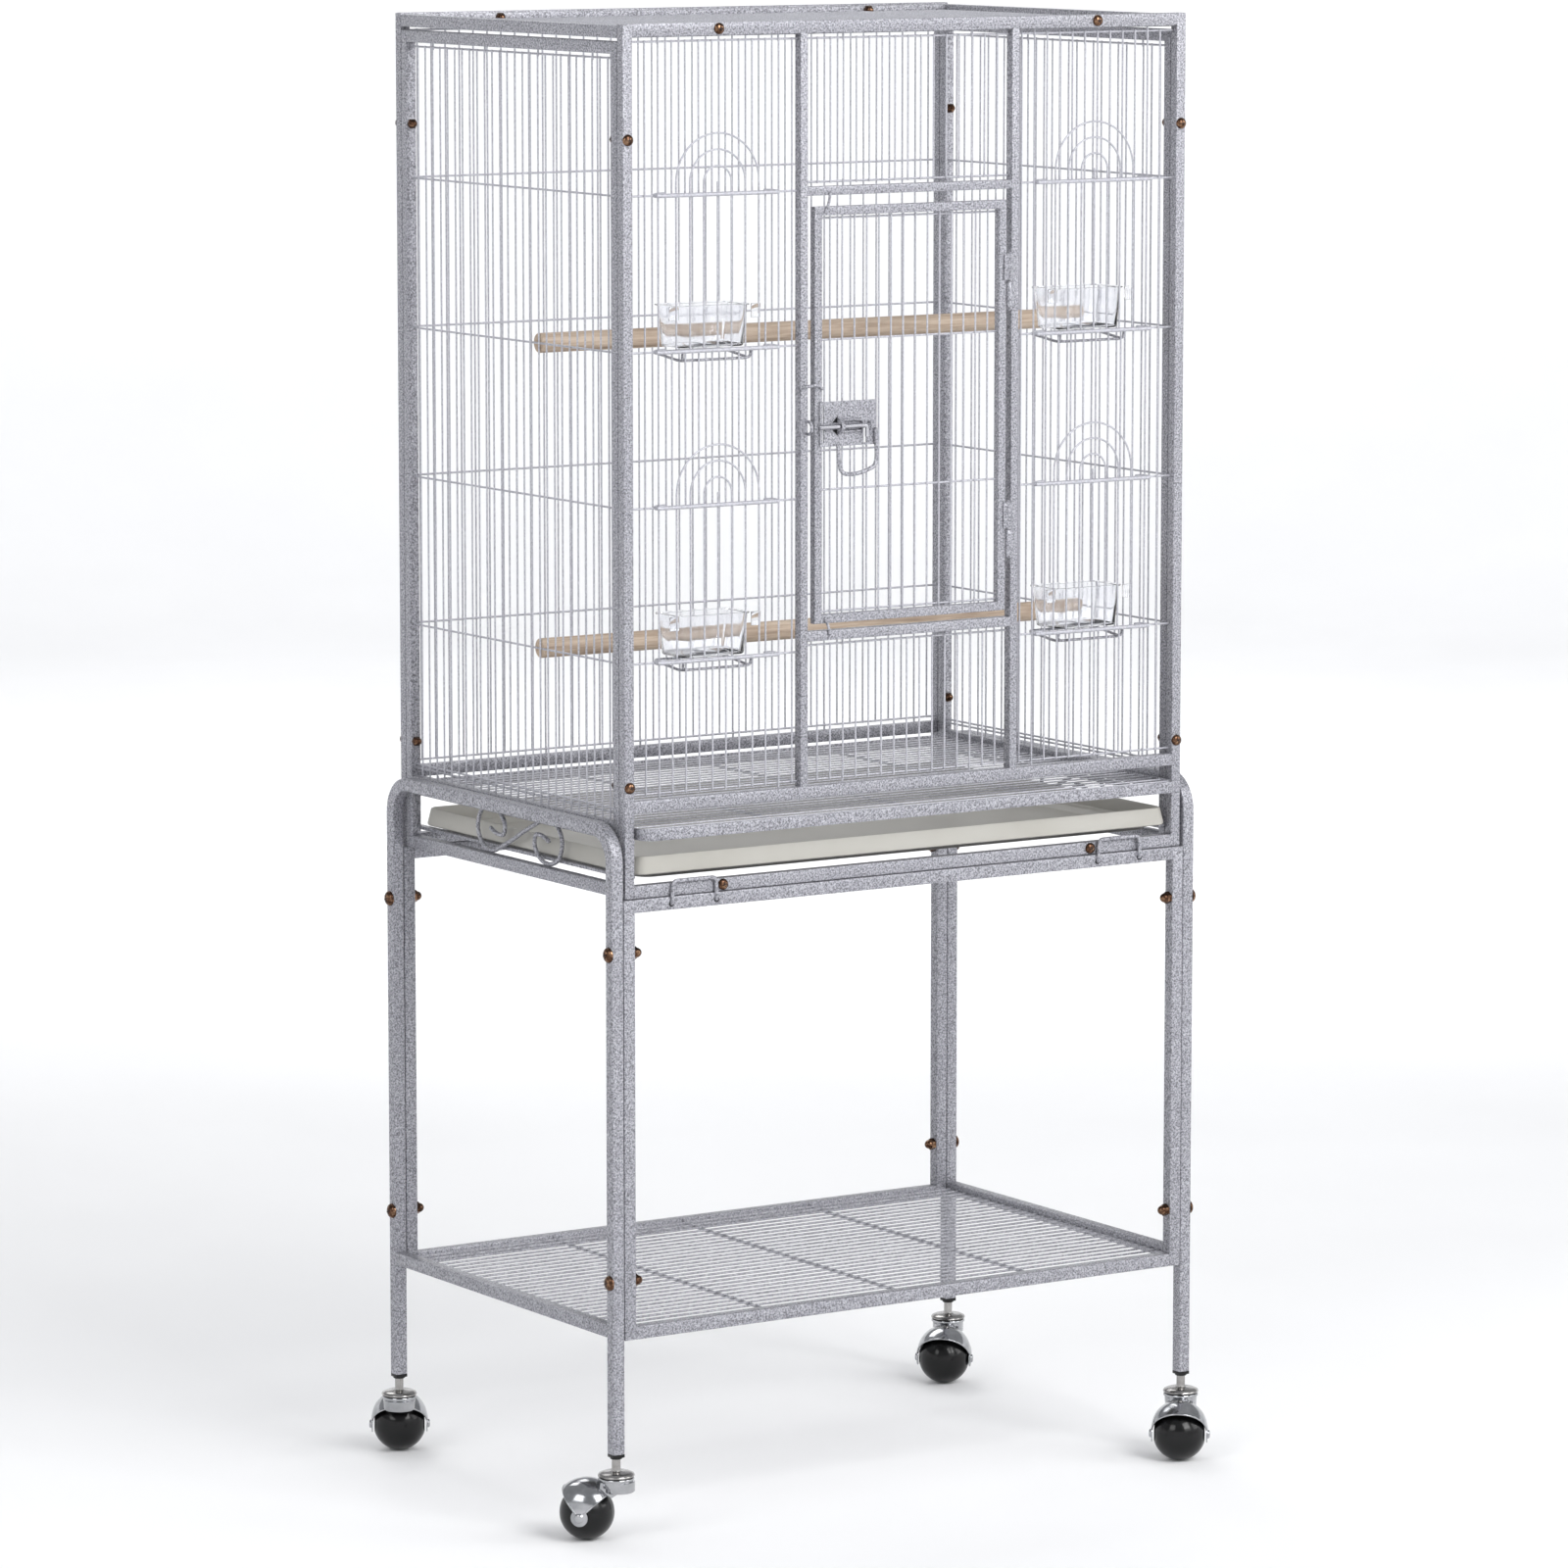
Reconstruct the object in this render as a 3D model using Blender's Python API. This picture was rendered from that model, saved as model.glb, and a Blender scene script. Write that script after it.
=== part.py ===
"""Bird cage on a rolling stand: a knock-down flight cage bolted to a tube stand on ball casters.

Metres, +Z up. The front of the cage, with its door, faces -Y. The origin is on the floor,
below the middle of the cage.
"""
import math

import bmesh
import bpy
from mathutils import Matrix, Vector

# ---- driving dimensions ---------------------------------------------------------------
HEIGHT = 1.360            # floor to the top of the cage
CAGE_WIDTH = 0.610
CAGE_DEPTH = 0.400
STAND_WIDTH = 0.640       # across the outsides of the legs
STAND_DEPTH = 0.404
TUBE = 0.010              # square tube of the cage panels
LEG_TUBE = 0.012          # square tube of the stand
TOP_RAIL = 0.0115         # height of the top rail of the front and back panels
GAP = 0.0005              # clearance between pieces that touch
WIRE = 0.0018             # mesh wire
ROW_TOP = 1.2086          # height of the highest cross wire of the mesh
ROW_STEP = 0.1383         # distance between cross wires
ROWS = [ROW_TOP - ROW_STEP * i for i in range(4)]

CAGE_FOOT = 0.584         # underside of the cage
LOW_RAIL_TOP = 0.5955
SILL = (0.6605, 0.6715)   # rail under the front mesh
BACK_SILL = (0.6485, 0.6595)
MULLION_IN = 0.1107       # door opening, from the middle to the mullion
MULLION = 0.008
DOOR_HEAD = (1.2040, 1.2120)
DOOR_FOOT = (0.8030, 0.8120)

LEG_FOOT = 0.0800         # lower end of the leg tube
LEG_TOP = 0.6515
BEND = 0.029              # bend radius of the legs, on the tube's middle line
STAND_RAIL = (0.5715, 0.5835)
SHELF_RAIL = (0.1835, 0.1955)
SIDE_RAIL = (0.1860, 0.1980)

DOOR_LEFT = -0.1035
DOOR_RIGHT = 0.1050
DOOR_BOTTOM = 0.8185
DOOR_TOP = 1.1940
DOOR_TUBE = 0.008
HINGE_X = 0.10785
HINGE_Y = -0.2005
HINGE_RADIUS = 0.0024
HINGES = {"hinge_upper": 1.1198, "hinge_lower": 0.8926}   # middle height of each hinge
KNUCKLE = 0.026
ROD_Z = 0.9967
ROD_Y = -0.2062
ROD_RADIUS = 0.0020

FEEDER_X = 0.2047         # middle of each feeder, from the middle of the cage
FEEDER_PITCH = 0.0145
FEEDER_BAR = 0.1248
CUP_SIZE = (0.0750, 0.0440, 0.0375)

PERCH_Y = -0.043
PERCH_RADIUS = 0.009

TRAY_HALF = 0.2925
GRATE_HALF = 0.2930
GRATE_FRONT = -0.2150

WHEEL_RADIUS = 0.025
TRAIL = 0.0275            # from the caster's stem to its axle
CASTERS = {"fl": (-1, -1, 133), "bl": (-1, 1, 60), "fr": (1, -1, 232), "br": (1, 1, 228)}

COATED = ("hammered grey coat", (0.50, 0.50, 0.53, 1.0), 0.45, 0.35)
CHROME = ("chrome", (0.75, 0.75, 0.76, 1.0), 0.12, 1.0)
STEEL = ("steel", (0.45, 0.44, 0.42, 1.0), 0.30, 1.0)
BLACK = ("black plastic", (0.015, 0.015, 0.015, 1.0), 0.25, 0.0)
IVORY = ("ivory plastic", (0.62, 0.60, 0.55, 1.0), 0.45, 0.0)
CLEAR = ("clear plastic", (0.80, 0.84, 0.90, 1.0), 0.10, 0.0)
WOOD = ("plain wood", (0.50, 0.38, 0.26, 1.0), 0.60, 0.0)


# ---- helpers --------------------------------------------------------------------------
def clear_scene():
    for item in list(bpy.data.objects):
        bpy.data.objects.remove(item, do_unlink=True)


def material(spec):
    name, colour, roughness, metallic = spec
    found = bpy.data.materials.get(name)
    if found:
        return found
    made = bpy.data.materials.new(name)
    made.use_nodes = True
    shader = made.node_tree.nodes["Principled BSDF"]
    shader.inputs["Base Color"].default_value = colour
    shader.inputs["Roughness"].default_value = roughness
    shader.inputs["Metallic"].default_value = metallic
    return made


def mesh_of(name, points, faces, spec, smooth=False):
    mesh = bpy.data.meshes.new(name)
    mesh.from_pydata([tuple(p) for p in points], [], faces)
    mesh.materials.append(material(spec))
    mesh.validate()
    if smooth:
        mesh.shade_smooth()
        mesh.set_sharp_from_angle(angle=math.radians(35))
    return mesh


def place(name, mesh, location=(0, 0, 0), turn=0.0, parent=None):
    item = bpy.data.objects.new(name, mesh)
    bpy.context.scene.collection.objects.link(item)
    item.parent = parent
    item.location = location
    item.rotation_euler = (0, 0, turn)
    return item


def empty(name, location, turn=0.0, parent=None):
    item = bpy.data.objects.new(name, None)
    bpy.context.scene.collection.objects.link(item)
    item.parent = parent
    item.location = location
    item.rotation_euler = (0, 0, turn)
    return item


def boxes_mesh(name, boxes, spec):
    """One closed skin around a group of boxes, each ((x0, y0, z0), (x1, y1, z1))."""
    cuts = []
    for axis in range(3):
        values = sorted({round(b[side][axis], 6) for b in boxes for side in (0, 1)})
        cuts.append(values)
    place_of = [{v: i for i, v in enumerate(values)} for values in cuts]
    filled = set()
    for low, high in boxes:
        spans = [range(place_of[a][round(low[a], 6)], place_of[a][round(high[a], 6)])
                 for a in range(3)]
        for i in spans[0]:
            for j in spans[1]:
                for k in spans[2]:
                    filled.add((i, j, k))
    points = []
    index = {}

    def corner(i, j, k):
        if (i, j, k) not in index:
            index[(i, j, k)] = len(points)
            points.append((cuts[0][i], cuts[1][j], cuts[2][k]))
        return index[(i, j, k)]

    sides = {
        (-1, 0, 0): ((0, 0, 0), (0, 0, 1), (0, 1, 1), (0, 1, 0)),
        (1, 0, 0): ((1, 0, 0), (1, 1, 0), (1, 1, 1), (1, 0, 1)),
        (0, -1, 0): ((0, 0, 0), (1, 0, 0), (1, 0, 1), (0, 0, 1)),
        (0, 1, 0): ((0, 1, 0), (0, 1, 1), (1, 1, 1), (1, 1, 0)),
        (0, 0, -1): ((0, 0, 0), (0, 1, 0), (1, 1, 0), (1, 0, 0)),
        (0, 0, 1): ((0, 0, 1), (1, 0, 1), (1, 1, 1), (0, 1, 1)),
    }
    faces = []
    for i, j, k in sorted(filled):
        for step, ring in sides.items():
            if (i + step[0], j + step[1], k + step[2]) not in filled:
                faces.append([corner(i + a, j + b, k + c) for a, b, c in ring])
    return mesh_of(name, points, faces, spec)


def rings_mesh(name, rings, spec, smooth=True):
    """Skin over rings of equal length, closed by a flat face at the first and last ring."""
    count = len(rings[0])
    points = [p for ring in rings for p in ring]
    faces = []
    for level in range(len(rings) - 1):
        for i in range(count):
            j = (i + 1) % count
            low = level * count
            high = low + count
            faces.append([low + i, low + j, high + j, high + i])
    faces.append(list(range(count))[::-1])
    last = (len(rings) - 1) * count
    faces.append([last + i for i in range(count)])
    return mesh_of(name, points, faces, spec, smooth)


def circle(radius, z, sides, x=0.0, y=0.0):
    turn = 2 * math.pi / sides
    return [(x + radius * math.cos(turn * i), y + radius * math.sin(turn * i), z)
            for i in range(sides)]


def turned(name, profile, sides, spec):
    """A solid turned about Z from (radius, z) pairs that run upwards."""
    return rings_mesh(name, [circle(r, z, sides) for r, z in profile], spec)


def rounded_rectangle(half_x, y0, y1, radius, z, steps=4):
    corners = [(half_x - radius, y0 + radius, -90), (half_x - radius, y1 - radius, 0),
               (radius - half_x, y1 - radius, 90), (radius - half_x, y0 + radius, 180)]
    points = []
    for x, y, start in corners:
        for i in range(steps + 1):
            a = math.radians(start + 90 * i / steps)
            points.append((x + radius * math.cos(a), y + radius * math.sin(a), z))
    return points


def tube_mesh(name, path, radius, sides, spec, side_axis, square=False):
    """A bar along a path that stays in the plane square to side_axis."""
    side_axis = Vector(side_axis)
    path = [Vector(p) for p in path]
    rings = []
    for i, point in enumerate(path):
        before = path[max(i - 1, 0)]
        after = path[min(i + 1, len(path) - 1)]
        first = (point - before).normalized() if i else (after - point).normalized()
        second = (after - point).normalized() if i < len(path) - 1 else first
        ahead = (first + second).normalized()
        across = ahead.cross(side_axis).normalized()
        stretch = 1.0 / max(0.5, ahead.dot(first))
        ring = []
        for k in range(sides):
            a = 2 * math.pi * (k + 0.5) / sides
            grow = radius * (math.sqrt(2) if square else 1.0)
            ring.append(point + side_axis * (grow * math.cos(a))
                        + across * (grow * stretch * math.sin(a)))
        rings.append(ring)
    return rings_mesh(name, rings, spec, smooth=not square)


def joined(name, meshes, spec):
    """Boolean union of closed meshes, as one mesh."""
    base = place(name + "_work", meshes[0])
    cutters = []
    for number, mesh in enumerate(meshes[1:]):
        other = place("%s_add_%d" % (name, number), mesh)
        modifier = base.modifiers.new("join", "BOOLEAN")
        modifier.operation = "UNION"
        modifier.solver = "EXACT"
        modifier.object = other
        cutters.append(other)
    bpy.context.view_layer.update()
    shape = base.evaluated_get(bpy.context.evaluated_depsgraph_get())
    result = bpy.data.meshes.new_from_object(shape)
    result.name = name
    work = bmesh.new()
    work.from_mesh(result)
    bmesh.ops.remove_doubles(work, verts=work.verts, dist=0.00002)
    bmesh.ops.dissolve_degenerate(work, dist=0.00002, edges=work.edges)
    bmesh.ops.triangulate(work, faces=work.faces)
    work.to_mesh(result)
    work.free()
    result.materials.clear()
    result.materials.append(material(spec))
    for item in cutters + [base]:
        bpy.data.objects.remove(item, do_unlink=True)
    return result


def curve_through(controls, steps):
    """Points along a smooth line through the control points."""
    points = []
    last = len(controls) - 1
    for i in range(last):
        a = Vector(controls[max(i - 1, 0)])
        b = Vector(controls[i])
        c = Vector(controls[i + 1])
        d = Vector(controls[min(i + 2, last)])
        for k in range(steps):
            t = k / steps
            points.append(0.5 * (2 * b + (c - a) * t + (2 * a - 5 * b + 4 * c - d) * t * t
                                 + (3 * b - a - 3 * c + d) * t * t * t))
    points.append(Vector(controls[last]))
    return points


def spread(first, last, count):
    return [first + (last - first) * i / (count - 1) for i in range(count)]


# ---- cage panels ----------------------------------------------------------------------
HALF_W = CAGE_WIDTH / 2
HALF_D = CAGE_DEPTH / 2
INNER_W = HALF_W - TUBE
PANEL_Y = HALF_D - TUBE - GAP       # ends of the side and top panels


def panel(name, y0, y1, sill):
    """Front or back panel frame: posts, top rail, sill and low rail."""
    boxes = [((-HALF_W, y0, CAGE_FOOT), (-INNER_W, y1, HEIGHT)),
             ((INNER_W, y0, CAGE_FOOT), (HALF_W, y1, HEIGHT)),
             ((-INNER_W, y0, HEIGHT - TOP_RAIL), (INNER_W, y1, HEIGHT)),
             ((-INNER_W, y0, sill[0]), (INNER_W, y1, sill[1])),
             ((-INNER_W, y0, CAGE_FOOT), (INNER_W, y1, LOW_RAIL_TOP))]
    if name == "front_frame":
        head = HEIGHT - TOP_RAIL
        for low in (-MULLION_IN - MULLION, MULLION_IN):
            boxes.append(((low, y0, sill[1]), (low + MULLION, y1, head)))
        for rail in (DOOR_HEAD, DOOR_FOOT):
            boxes.append(((-MULLION_IN, y0, rail[0]), (MULLION_IN, y1, rail[1])))
    return place(name, boxes_mesh(name, boxes, COATED))


def lattice(name, uprights, rows, span, height, depth, along="x", holes=()):
    """Flat mesh of upright and cross wires; holes are (first, last, low, high) windows."""
    boxes = []
    half = WIRE / 2
    low, high = height
    for number, u in enumerate(uprights):
        pieces = [(low, high)]
        for first, last, bottom, top in holes:
            if first <= number <= last:
                cut = []
                for a, b in pieces:
                    if a < bottom < b:
                        cut.append((a, bottom))
                        cut.append((top, b))
                    else:
                        cut.append((a, b))
                pieces = cut
        for a, b in pieces:
            boxes.append((u - half, u + half, a, b))
    for z in rows:
        boxes.append((span[0], span[1], z - half, z + half))
    solid = []
    for u0, u1, z0, z1 in boxes:
        if along == "x":
            solid.append(((u0, depth - half, z0), (u1, depth + half, z1)))
        elif along == "y":
            solid.append(((depth - half, u0, z0), (depth + half, u1, z1)))
        else:
            solid.append(((u0, z0, depth - half), (u1, z1, depth + half)))
    return place(name, boxes_mesh(name, solid, COATED))


def build_cage():
    panel("front_frame", -HALF_D, -HALF_D + TUBE, SILL)
    panel("back_frame", HALF_D - TUBE, HALF_D, BACK_SILL)

    head = HEIGHT - TOP_RAIL - GAP
    mesh_y = -HALF_D + 0.0055
    outer_in = INNER_W - GAP
    mullion_out = MULLION_IN + MULLION + GAP
    first = 0.2795
    uprights = spread(-first, -first + 11 * 0.01407, 12)
    low = SILL[1] + GAP
    windows = [(2, 8, ROWS[1] + WIRE / 2, ROWS[0] - WIRE / 2),
               (2, 8, ROWS[3] + WIRE / 2, ROWS[2] - WIRE / 2)]
    rows = [low + WIRE / 2] + ROWS + [head - WIRE / 2]
    lattice("front_mesh_left", uprights, rows, (-outer_in, -mullion_out), (low, head), mesh_y,
            "x", windows)
    mirrored = [-u for u in reversed(uprights)]
    lattice("front_mesh_right", mirrored, rows, (mullion_out, outer_in), (low, head), mesh_y,
            "x", [(3, 9, w[2], w[3]) for w in windows])
    middle = spread(-0.0975, 0.0975, 15)
    inside = MULLION_IN - GAP
    low, top = DOOR_HEAD[1] + GAP, head
    lattice("front_mesh_over_door", middle, [low + WIRE / 2, top - WIRE / 2],
            (-inside, inside), (low, top), mesh_y)
    low, top = SILL[1] + GAP, DOOR_FOOT[0] - GAP
    lattice("front_mesh_under_door", middle, [low + WIRE / 2, top - WIRE / 2],
            (-inside, inside), (low, top), mesh_y)

    low = BACK_SILL[1] + GAP
    lattice("back_mesh", spread(-0.285, 0.285, 39),
            [low + WIRE / 2, head - WIRE / 2], (-outer_in, outer_in), (low, head), -mesh_y)

    side_top = (1.3335, 1.3445)
    side_mid = (0.6425, 0.6520)
    for name, sign in (("left", -1), ("right", 1)):
        x0, x1 = sorted((sign * HALF_W, sign * INNER_W))
        post = PANEL_Y - TUBE
        boxes = [((x0, -PANEL_Y, CAGE_FOOT), (x1, -post, side_top[1])),
                 ((x0, post, CAGE_FOOT), (x1, PANEL_Y, side_top[1])),
                 ((x0, -post, side_top[0]), (x1, post, side_top[1])),
                 ((x0, -post, side_mid[0]), (x1, post, side_mid[1])),
                 ((x0, -post, CAGE_FOOT), (x1, post, LOW_RAIL_TOP))]
        r0, r1 = sorted((sign * (INNER_W + 0.001), sign * (INNER_W - 0.007)))
        for bottom in (0.6005, 0.6325):
            boxes.append(((r0, -PANEL_Y, bottom), (r1, PANEL_Y, bottom + 0.0030)))
        place(name + "_side_frame", boxes_mesh(name + "_side_frame", boxes, COATED))
        low, top = side_mid[1] + GAP, side_top[0] - GAP
        lattice(name + "_side_mesh", spread(-0.1670, 0.1670, 26),
                [low + WIRE / 2, top - WIRE / 2], (-post + GAP, post - GAP), (low, top),
                sign * (HALF_W - TUBE / 2), "y")

    low, top = 1.3475, 1.3585
    boxes = [((-HALF_W, -PANEL_Y, low), (-INNER_W, PANEL_Y, top)),
             ((INNER_W, -PANEL_Y, low), (HALF_W, PANEL_Y, top)),
             ((-INNER_W, -PANEL_Y, low), (INNER_W, -PANEL_Y + TUBE, top)),
             ((-INNER_W, PANEL_Y - TUBE, low), (INNER_W, PANEL_Y, top))]
    place("top_frame", boxes_mesh("top_frame", boxes, COATED))
    edge = PANEL_Y - TUBE - GAP
    lattice("top_mesh", spread(-0.285, 0.285, 39), [-edge + WIRE / 2, edge - WIRE / 2],
            (-outer_in, outer_in), (-edge, edge), 1.3530, "z")


def build_perches():
    half = HALF_W - TUBE / 2 - 0.0016
    mesh = turned("perch", [(PERCH_RADIUS, -half), (PERCH_RADIUS, half)], 20, WOOD)
    mesh.transform(Matrix.Rotation(math.pi / 2, 4, "Y"))
    place("perch_upper", mesh, (0, PERCH_Y, ROWS[1]))
    place("perch_lower", mesh, (0, PERCH_Y, ROWS[3]))


# ---- door -----------------------------------------------------------------------------
def keyhole(name, reach, bottom, top, spec):
    """Hinge knuckle with its tab, about the pin, the tab reaching along X."""
    thick = 0.0011
    start = math.asin(thick / HINGE_RADIUS)
    outline = []
    for i in range(15):
        a = start + (2 * math.pi - 2 * start) * i / 14
        outline.append((HINGE_RADIUS * math.cos(a), HINGE_RADIUS * math.sin(a)))
    outline.append((abs(reach), -thick))
    outline.append((abs(reach), thick))
    if reach < 0:
        outline = [(-x, -y) for x, y in outline]
    rings = [[(x, y, z) for x, y in outline] for z in (bottom, top)]
    return rings_mesh(name, rings, spec)


def build_door():
    y0 = -HALF_D
    y1 = y0 + DOOR_TUBE
    pivot = empty("door_pivot", (HINGE_X, HINGE_Y, 0))
    shift = Matrix.Translation((-HINGE_X, -HINGE_Y, 0))
    in_left = DOOR_LEFT + DOOR_TUBE
    in_right = DOOR_RIGHT - DOOR_TUBE
    in_low = DOOR_BOTTOM + DOOR_TUBE
    in_top = DOOR_TOP - DOOR_TUBE
    boxes = [((DOOR_LEFT, y0, DOOR_BOTTOM), (in_left, y1, DOOR_TOP)),
             ((in_right, y0, DOOR_BOTTOM), (DOOR_RIGHT, y1, DOOR_TOP)),
             ((in_left, y0, DOOR_BOTTOM), (in_right, y1, in_low)),
             ((in_left, y0, in_top), (in_right, y1, DOOR_TOP))]
    frame = boxes_mesh("door_tubes", boxes, COATED)
    frame.transform(shift)
    pieces = [frame]
    for name, middle in HINGES.items():
        pieces.append(keyhole(name + "_door_knuckle", -0.0060, middle + 0.0003,
                              middle + KNUCKLE, COATED))
        fixed = keyhole(name, 0.0025, middle - KNUCKLE, middle - 0.0003, COATED)
        place(name, fixed, (HINGE_X, HINGE_Y, 0))
    place("door_frame", joined("door_frame", pieces, COATED), parent=pivot)

    half = WIRE / 2
    u0, u1 = in_left + GAP, in_right - GAP
    z0, z1 = in_low + GAP, in_top - GAP
    wires = [((u - half, -0.1970, z0), (u + half, -0.1952, z1))
             for u in spread(u0 + 0.0100, u1 - 0.0100, 14)]
    for z in (z0 + half, z1 - half):
        wires.append(((u0, -0.1970, z - half), (u1, -0.1952, z + half)))
    mesh = boxes_mesh("door_mesh", wires, COATED)
    mesh.transform(shift)
    place("door_mesh", mesh, parent=pivot)

    back, face = -0.2003, -0.2015
    plate = [((-0.0991, face, 0.9785), (-0.0393, back, 1.0190))]
    for x in (-0.0875, -0.0725):
        for z in (ROD_Z - 0.0042, ROD_Z + 0.0030):
            plate.append(((x, -0.2098, z), (x + 0.0040, face, z + 0.0012)))
        plate.append(((x, -0.2098, ROD_Z - 0.0030), (x + 0.0040, -0.2088, ROD_Z + 0.0030)))
    for x in (-0.0810, -0.0420):
        plate.append(((x, face - 0.0012, 0.9540), (x + 0.0024, back, 0.9785)))
        plate.append(((x, face - 0.0012, 0.9785), (x + 0.0024, face, 0.9800)))
    plate.append(((-0.0810, face - 0.0012, 0.9516), (-0.0396, back, 0.9540)))
    mesh = boxes_mesh("latch_plate", plate, COATED)
    mesh.transform(shift)
    place("latch_plate", mesh, parent=pivot)

    rod = turned("latch_rod", [(ROD_RADIUS, 0.0), (ROD_RADIUS, 0.0522)], 12, CHROME)
    rod.transform(Matrix.Rotation(math.pi / 2, 4, "Y"))
    tail = turned("latch_tail", [(0.0016, -0.0110), (0.0016, 0.0010)], 8, CHROME)
    tail.transform(Matrix.Translation((0.0500, 0, 0)))
    mesh = joined("latch_bolt", [rod, tail], COATED)
    place("latch_bolt", mesh, (-0.1022 - HINGE_X, ROD_Y - HINGE_Y, ROD_Z), parent=pivot)

    staple = []
    for z in (ROD_Z - 0.0055, ROD_Z + 0.0030):
        staple.append(((-0.1150, -0.2105, z), (-0.1125, -0.2003, z + 0.0025)))
    staple.append(((-0.1150, -0.2105, ROD_Z - 0.0030), (-0.1125, -0.2088, ROD_Z + 0.0030)))
    place("latch_catch", boxes_mesh("latch_catch", staple, COATED))


# ---- feeders --------------------------------------------------------------------------
def build_feeders():
    bar_half = FEEDER_BAR / 2
    bars = []
    for number, z in enumerate((0.0, ROW_STEP)):
        bars.append(boxes_mesh("feeder_bar_%d" % number,
                               [((-bar_half, -0.0013, z - 0.0017),
                                 (bar_half, 0.0013, z + 0.0017))], COATED))
    wires = []
    for number in (3, 2, 1):
        r = FEEDER_PITCH * number
        crown = ROW_STEP + (0.0540 - 0.0145 * (3 - number)) - r
        path = [(-r, 0, 0.0)]
        for i in range(9):
            a = math.pi - math.pi * i / 8
            path.append((r * math.cos(a), 0, crown + r * math.sin(a)))
        path.append((r, 0, 0.0))
        wires.append(tube_mesh("feeder_arch_%d" % number, path, WIRE / 2, 4, COATED,
                               (0, 1, 0), square=True))
    stub = boxes_mesh("feeder_stub", [((-WIRE / 2, -WIRE / 2, 0.0003),
                                       (WIRE / 2, WIRE / 2, ROW_STEP + 0.0110))], COATED)
    door = joined("feeder_door", bars + wires + [stub], COATED)

    wide, deep, high = CUP_SIZE
    wall = 0.0014
    rings = [rounded_rectangle(wide / 2 - 0.0040, 0.0010, deep - 0.0020, 0.0080, 0.0),
             rounded_rectangle(wide / 2, 0.0, deep, 0.0080, high),
             rounded_rectangle(wide / 2 - wall, wall, deep - wall, 0.0066, high),
             rounded_rectangle(wide / 2 - 0.0040 - wall, 0.0010 + wall, deep - 0.0020 - wall,
                               0.0066, wall)]
    cup = rings_mesh("feeder_cup", rings, CLEAR)
    for side, sign in (("left", -1), ("right", 1)):
        for level, row in (("upper", 1), ("lower", 3)):
            place("feeder_door_%s_%s" % (side, level), door,
                  (sign * FEEDER_X, -0.1978, ROWS[row]))
            place("feeder_cup_%s_%s" % (side, level), cup,
                  (sign * FEEDER_X, -0.1928, ROWS[row] + 0.0020))


# ---- floor of the cage ----------------------------------------------------------------
def build_floor():
    rings = [rounded_rectangle(0.2790, -0.1850, 0.1670, 0.012, 0.5997),
             rounded_rectangle(0.2815, -0.1880, 0.1700, 0.012, 0.6045),
             rounded_rectangle(TRAY_HALF, -0.1990, 0.1810, 0.010, 0.6045),
             rounded_rectangle(TRAY_HALF, -0.1990, 0.1810, 0.010, 0.6210),
             rounded_rectangle(TRAY_HALF - 0.0025, -0.1965, 0.1785, 0.008, 0.6210),
             rounded_rectangle(TRAY_HALF - 0.0025, -0.1965, 0.1785, 0.008, 0.6065),
             rounded_rectangle(0.2790, -0.1860, 0.1680, 0.010, 0.6065),
             rounded_rectangle(0.2770, -0.1830, 0.1650, 0.010, 0.6015)]
    place("tray", rings_mesh("tray", rings, IVORY))

    low, high = 0.6370, 0.6475
    back = 0.1800
    strip = 0.0020
    boxes = []
    for x in (-GRATE_HALF, GRATE_HALF - strip):
        boxes.append(((x, GRATE_FRONT, low), (x + strip, back, high)))
    for y in (GRATE_FRONT, back - strip):
        boxes.append(((-GRATE_HALF, y, low), (GRATE_HALF, y + strip, high)))
    inner = GRATE_HALF - strip
    for y in spread(GRATE_FRONT + 0.014, back - 0.014, 28):
        boxes.append(((-inner, y - WIRE / 2, 0.6455), (inner, y + WIRE / 2, high)))
    place("floor_grate", boxes_mesh("floor_grate", boxes, COATED))


# ---- stand ----------------------------------------------------------------------------
def leg_frame(name, sign):
    """One upside-down U of tube with a cross tube at the height of the shelf."""
    outer_x = sign * STAND_WIDTH / 2
    inner_x = outer_x - sign * LEG_TUBE
    x0, x1 = sorted((outer_x, inner_x))
    half = LEG_TUBE / 2
    leg_y = STAND_DEPTH / 2 - half
    bar_z = LEG_TOP - half
    stations = [((-leg_y, LEG_FOOT), (1, 0)), ((-leg_y, SIDE_RAIL[0]), (1, 0)),
                ((-leg_y, SIDE_RAIL[1]), (1, 0))]
    for i in range(9):
        a = math.radians(90 * i / 8)
        centre = (-leg_y + BEND, bar_z - BEND)
        inward = (math.cos(a), -math.sin(a))
        stations.append(((centre[0] - BEND * inward[0], centre[1] - BEND * inward[1]), inward))
    stations += [((-y, z), (-a, b)) for (y, z), (a, b) in reversed(stations)]
    points = []
    for (y, z), (ny, nz) in stations:
        near = (y + ny * half, z + nz * half)
        far = (y - ny * half, z - nz * half)
        points += [(x0, near[0], near[1]), (x1, near[0], near[1]),
                   (x1, far[0], far[1]), (x0, far[0], far[1])]
    last = len(stations) - 1
    faces = [[0, 1, 2, 3], [4 * last + i for i in (3, 2, 1, 0)]]
    for s in range(last):
        for i in range(4):
            if i == 0 and s in (1, last - 2):
                continue
            j = (i + 1) % 4
            faces.append([4 * s + i, 4 * (s + 1) + i, 4 * (s + 1) + j, 4 * s + j])
    a, b = 4 * 1, 4 * 2
    c, d = 4 * (last - 2), 4 * (last - 1)
    faces.append([a + 1, a, d, d + 1])
    faces.append([b, b + 1, c + 1, c])
    faces.append([a, b, c, d])
    faces.append([b + 1, a + 1, d + 1, c + 1])
    return place(name, mesh_of(name, points, faces, COATED))


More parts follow.
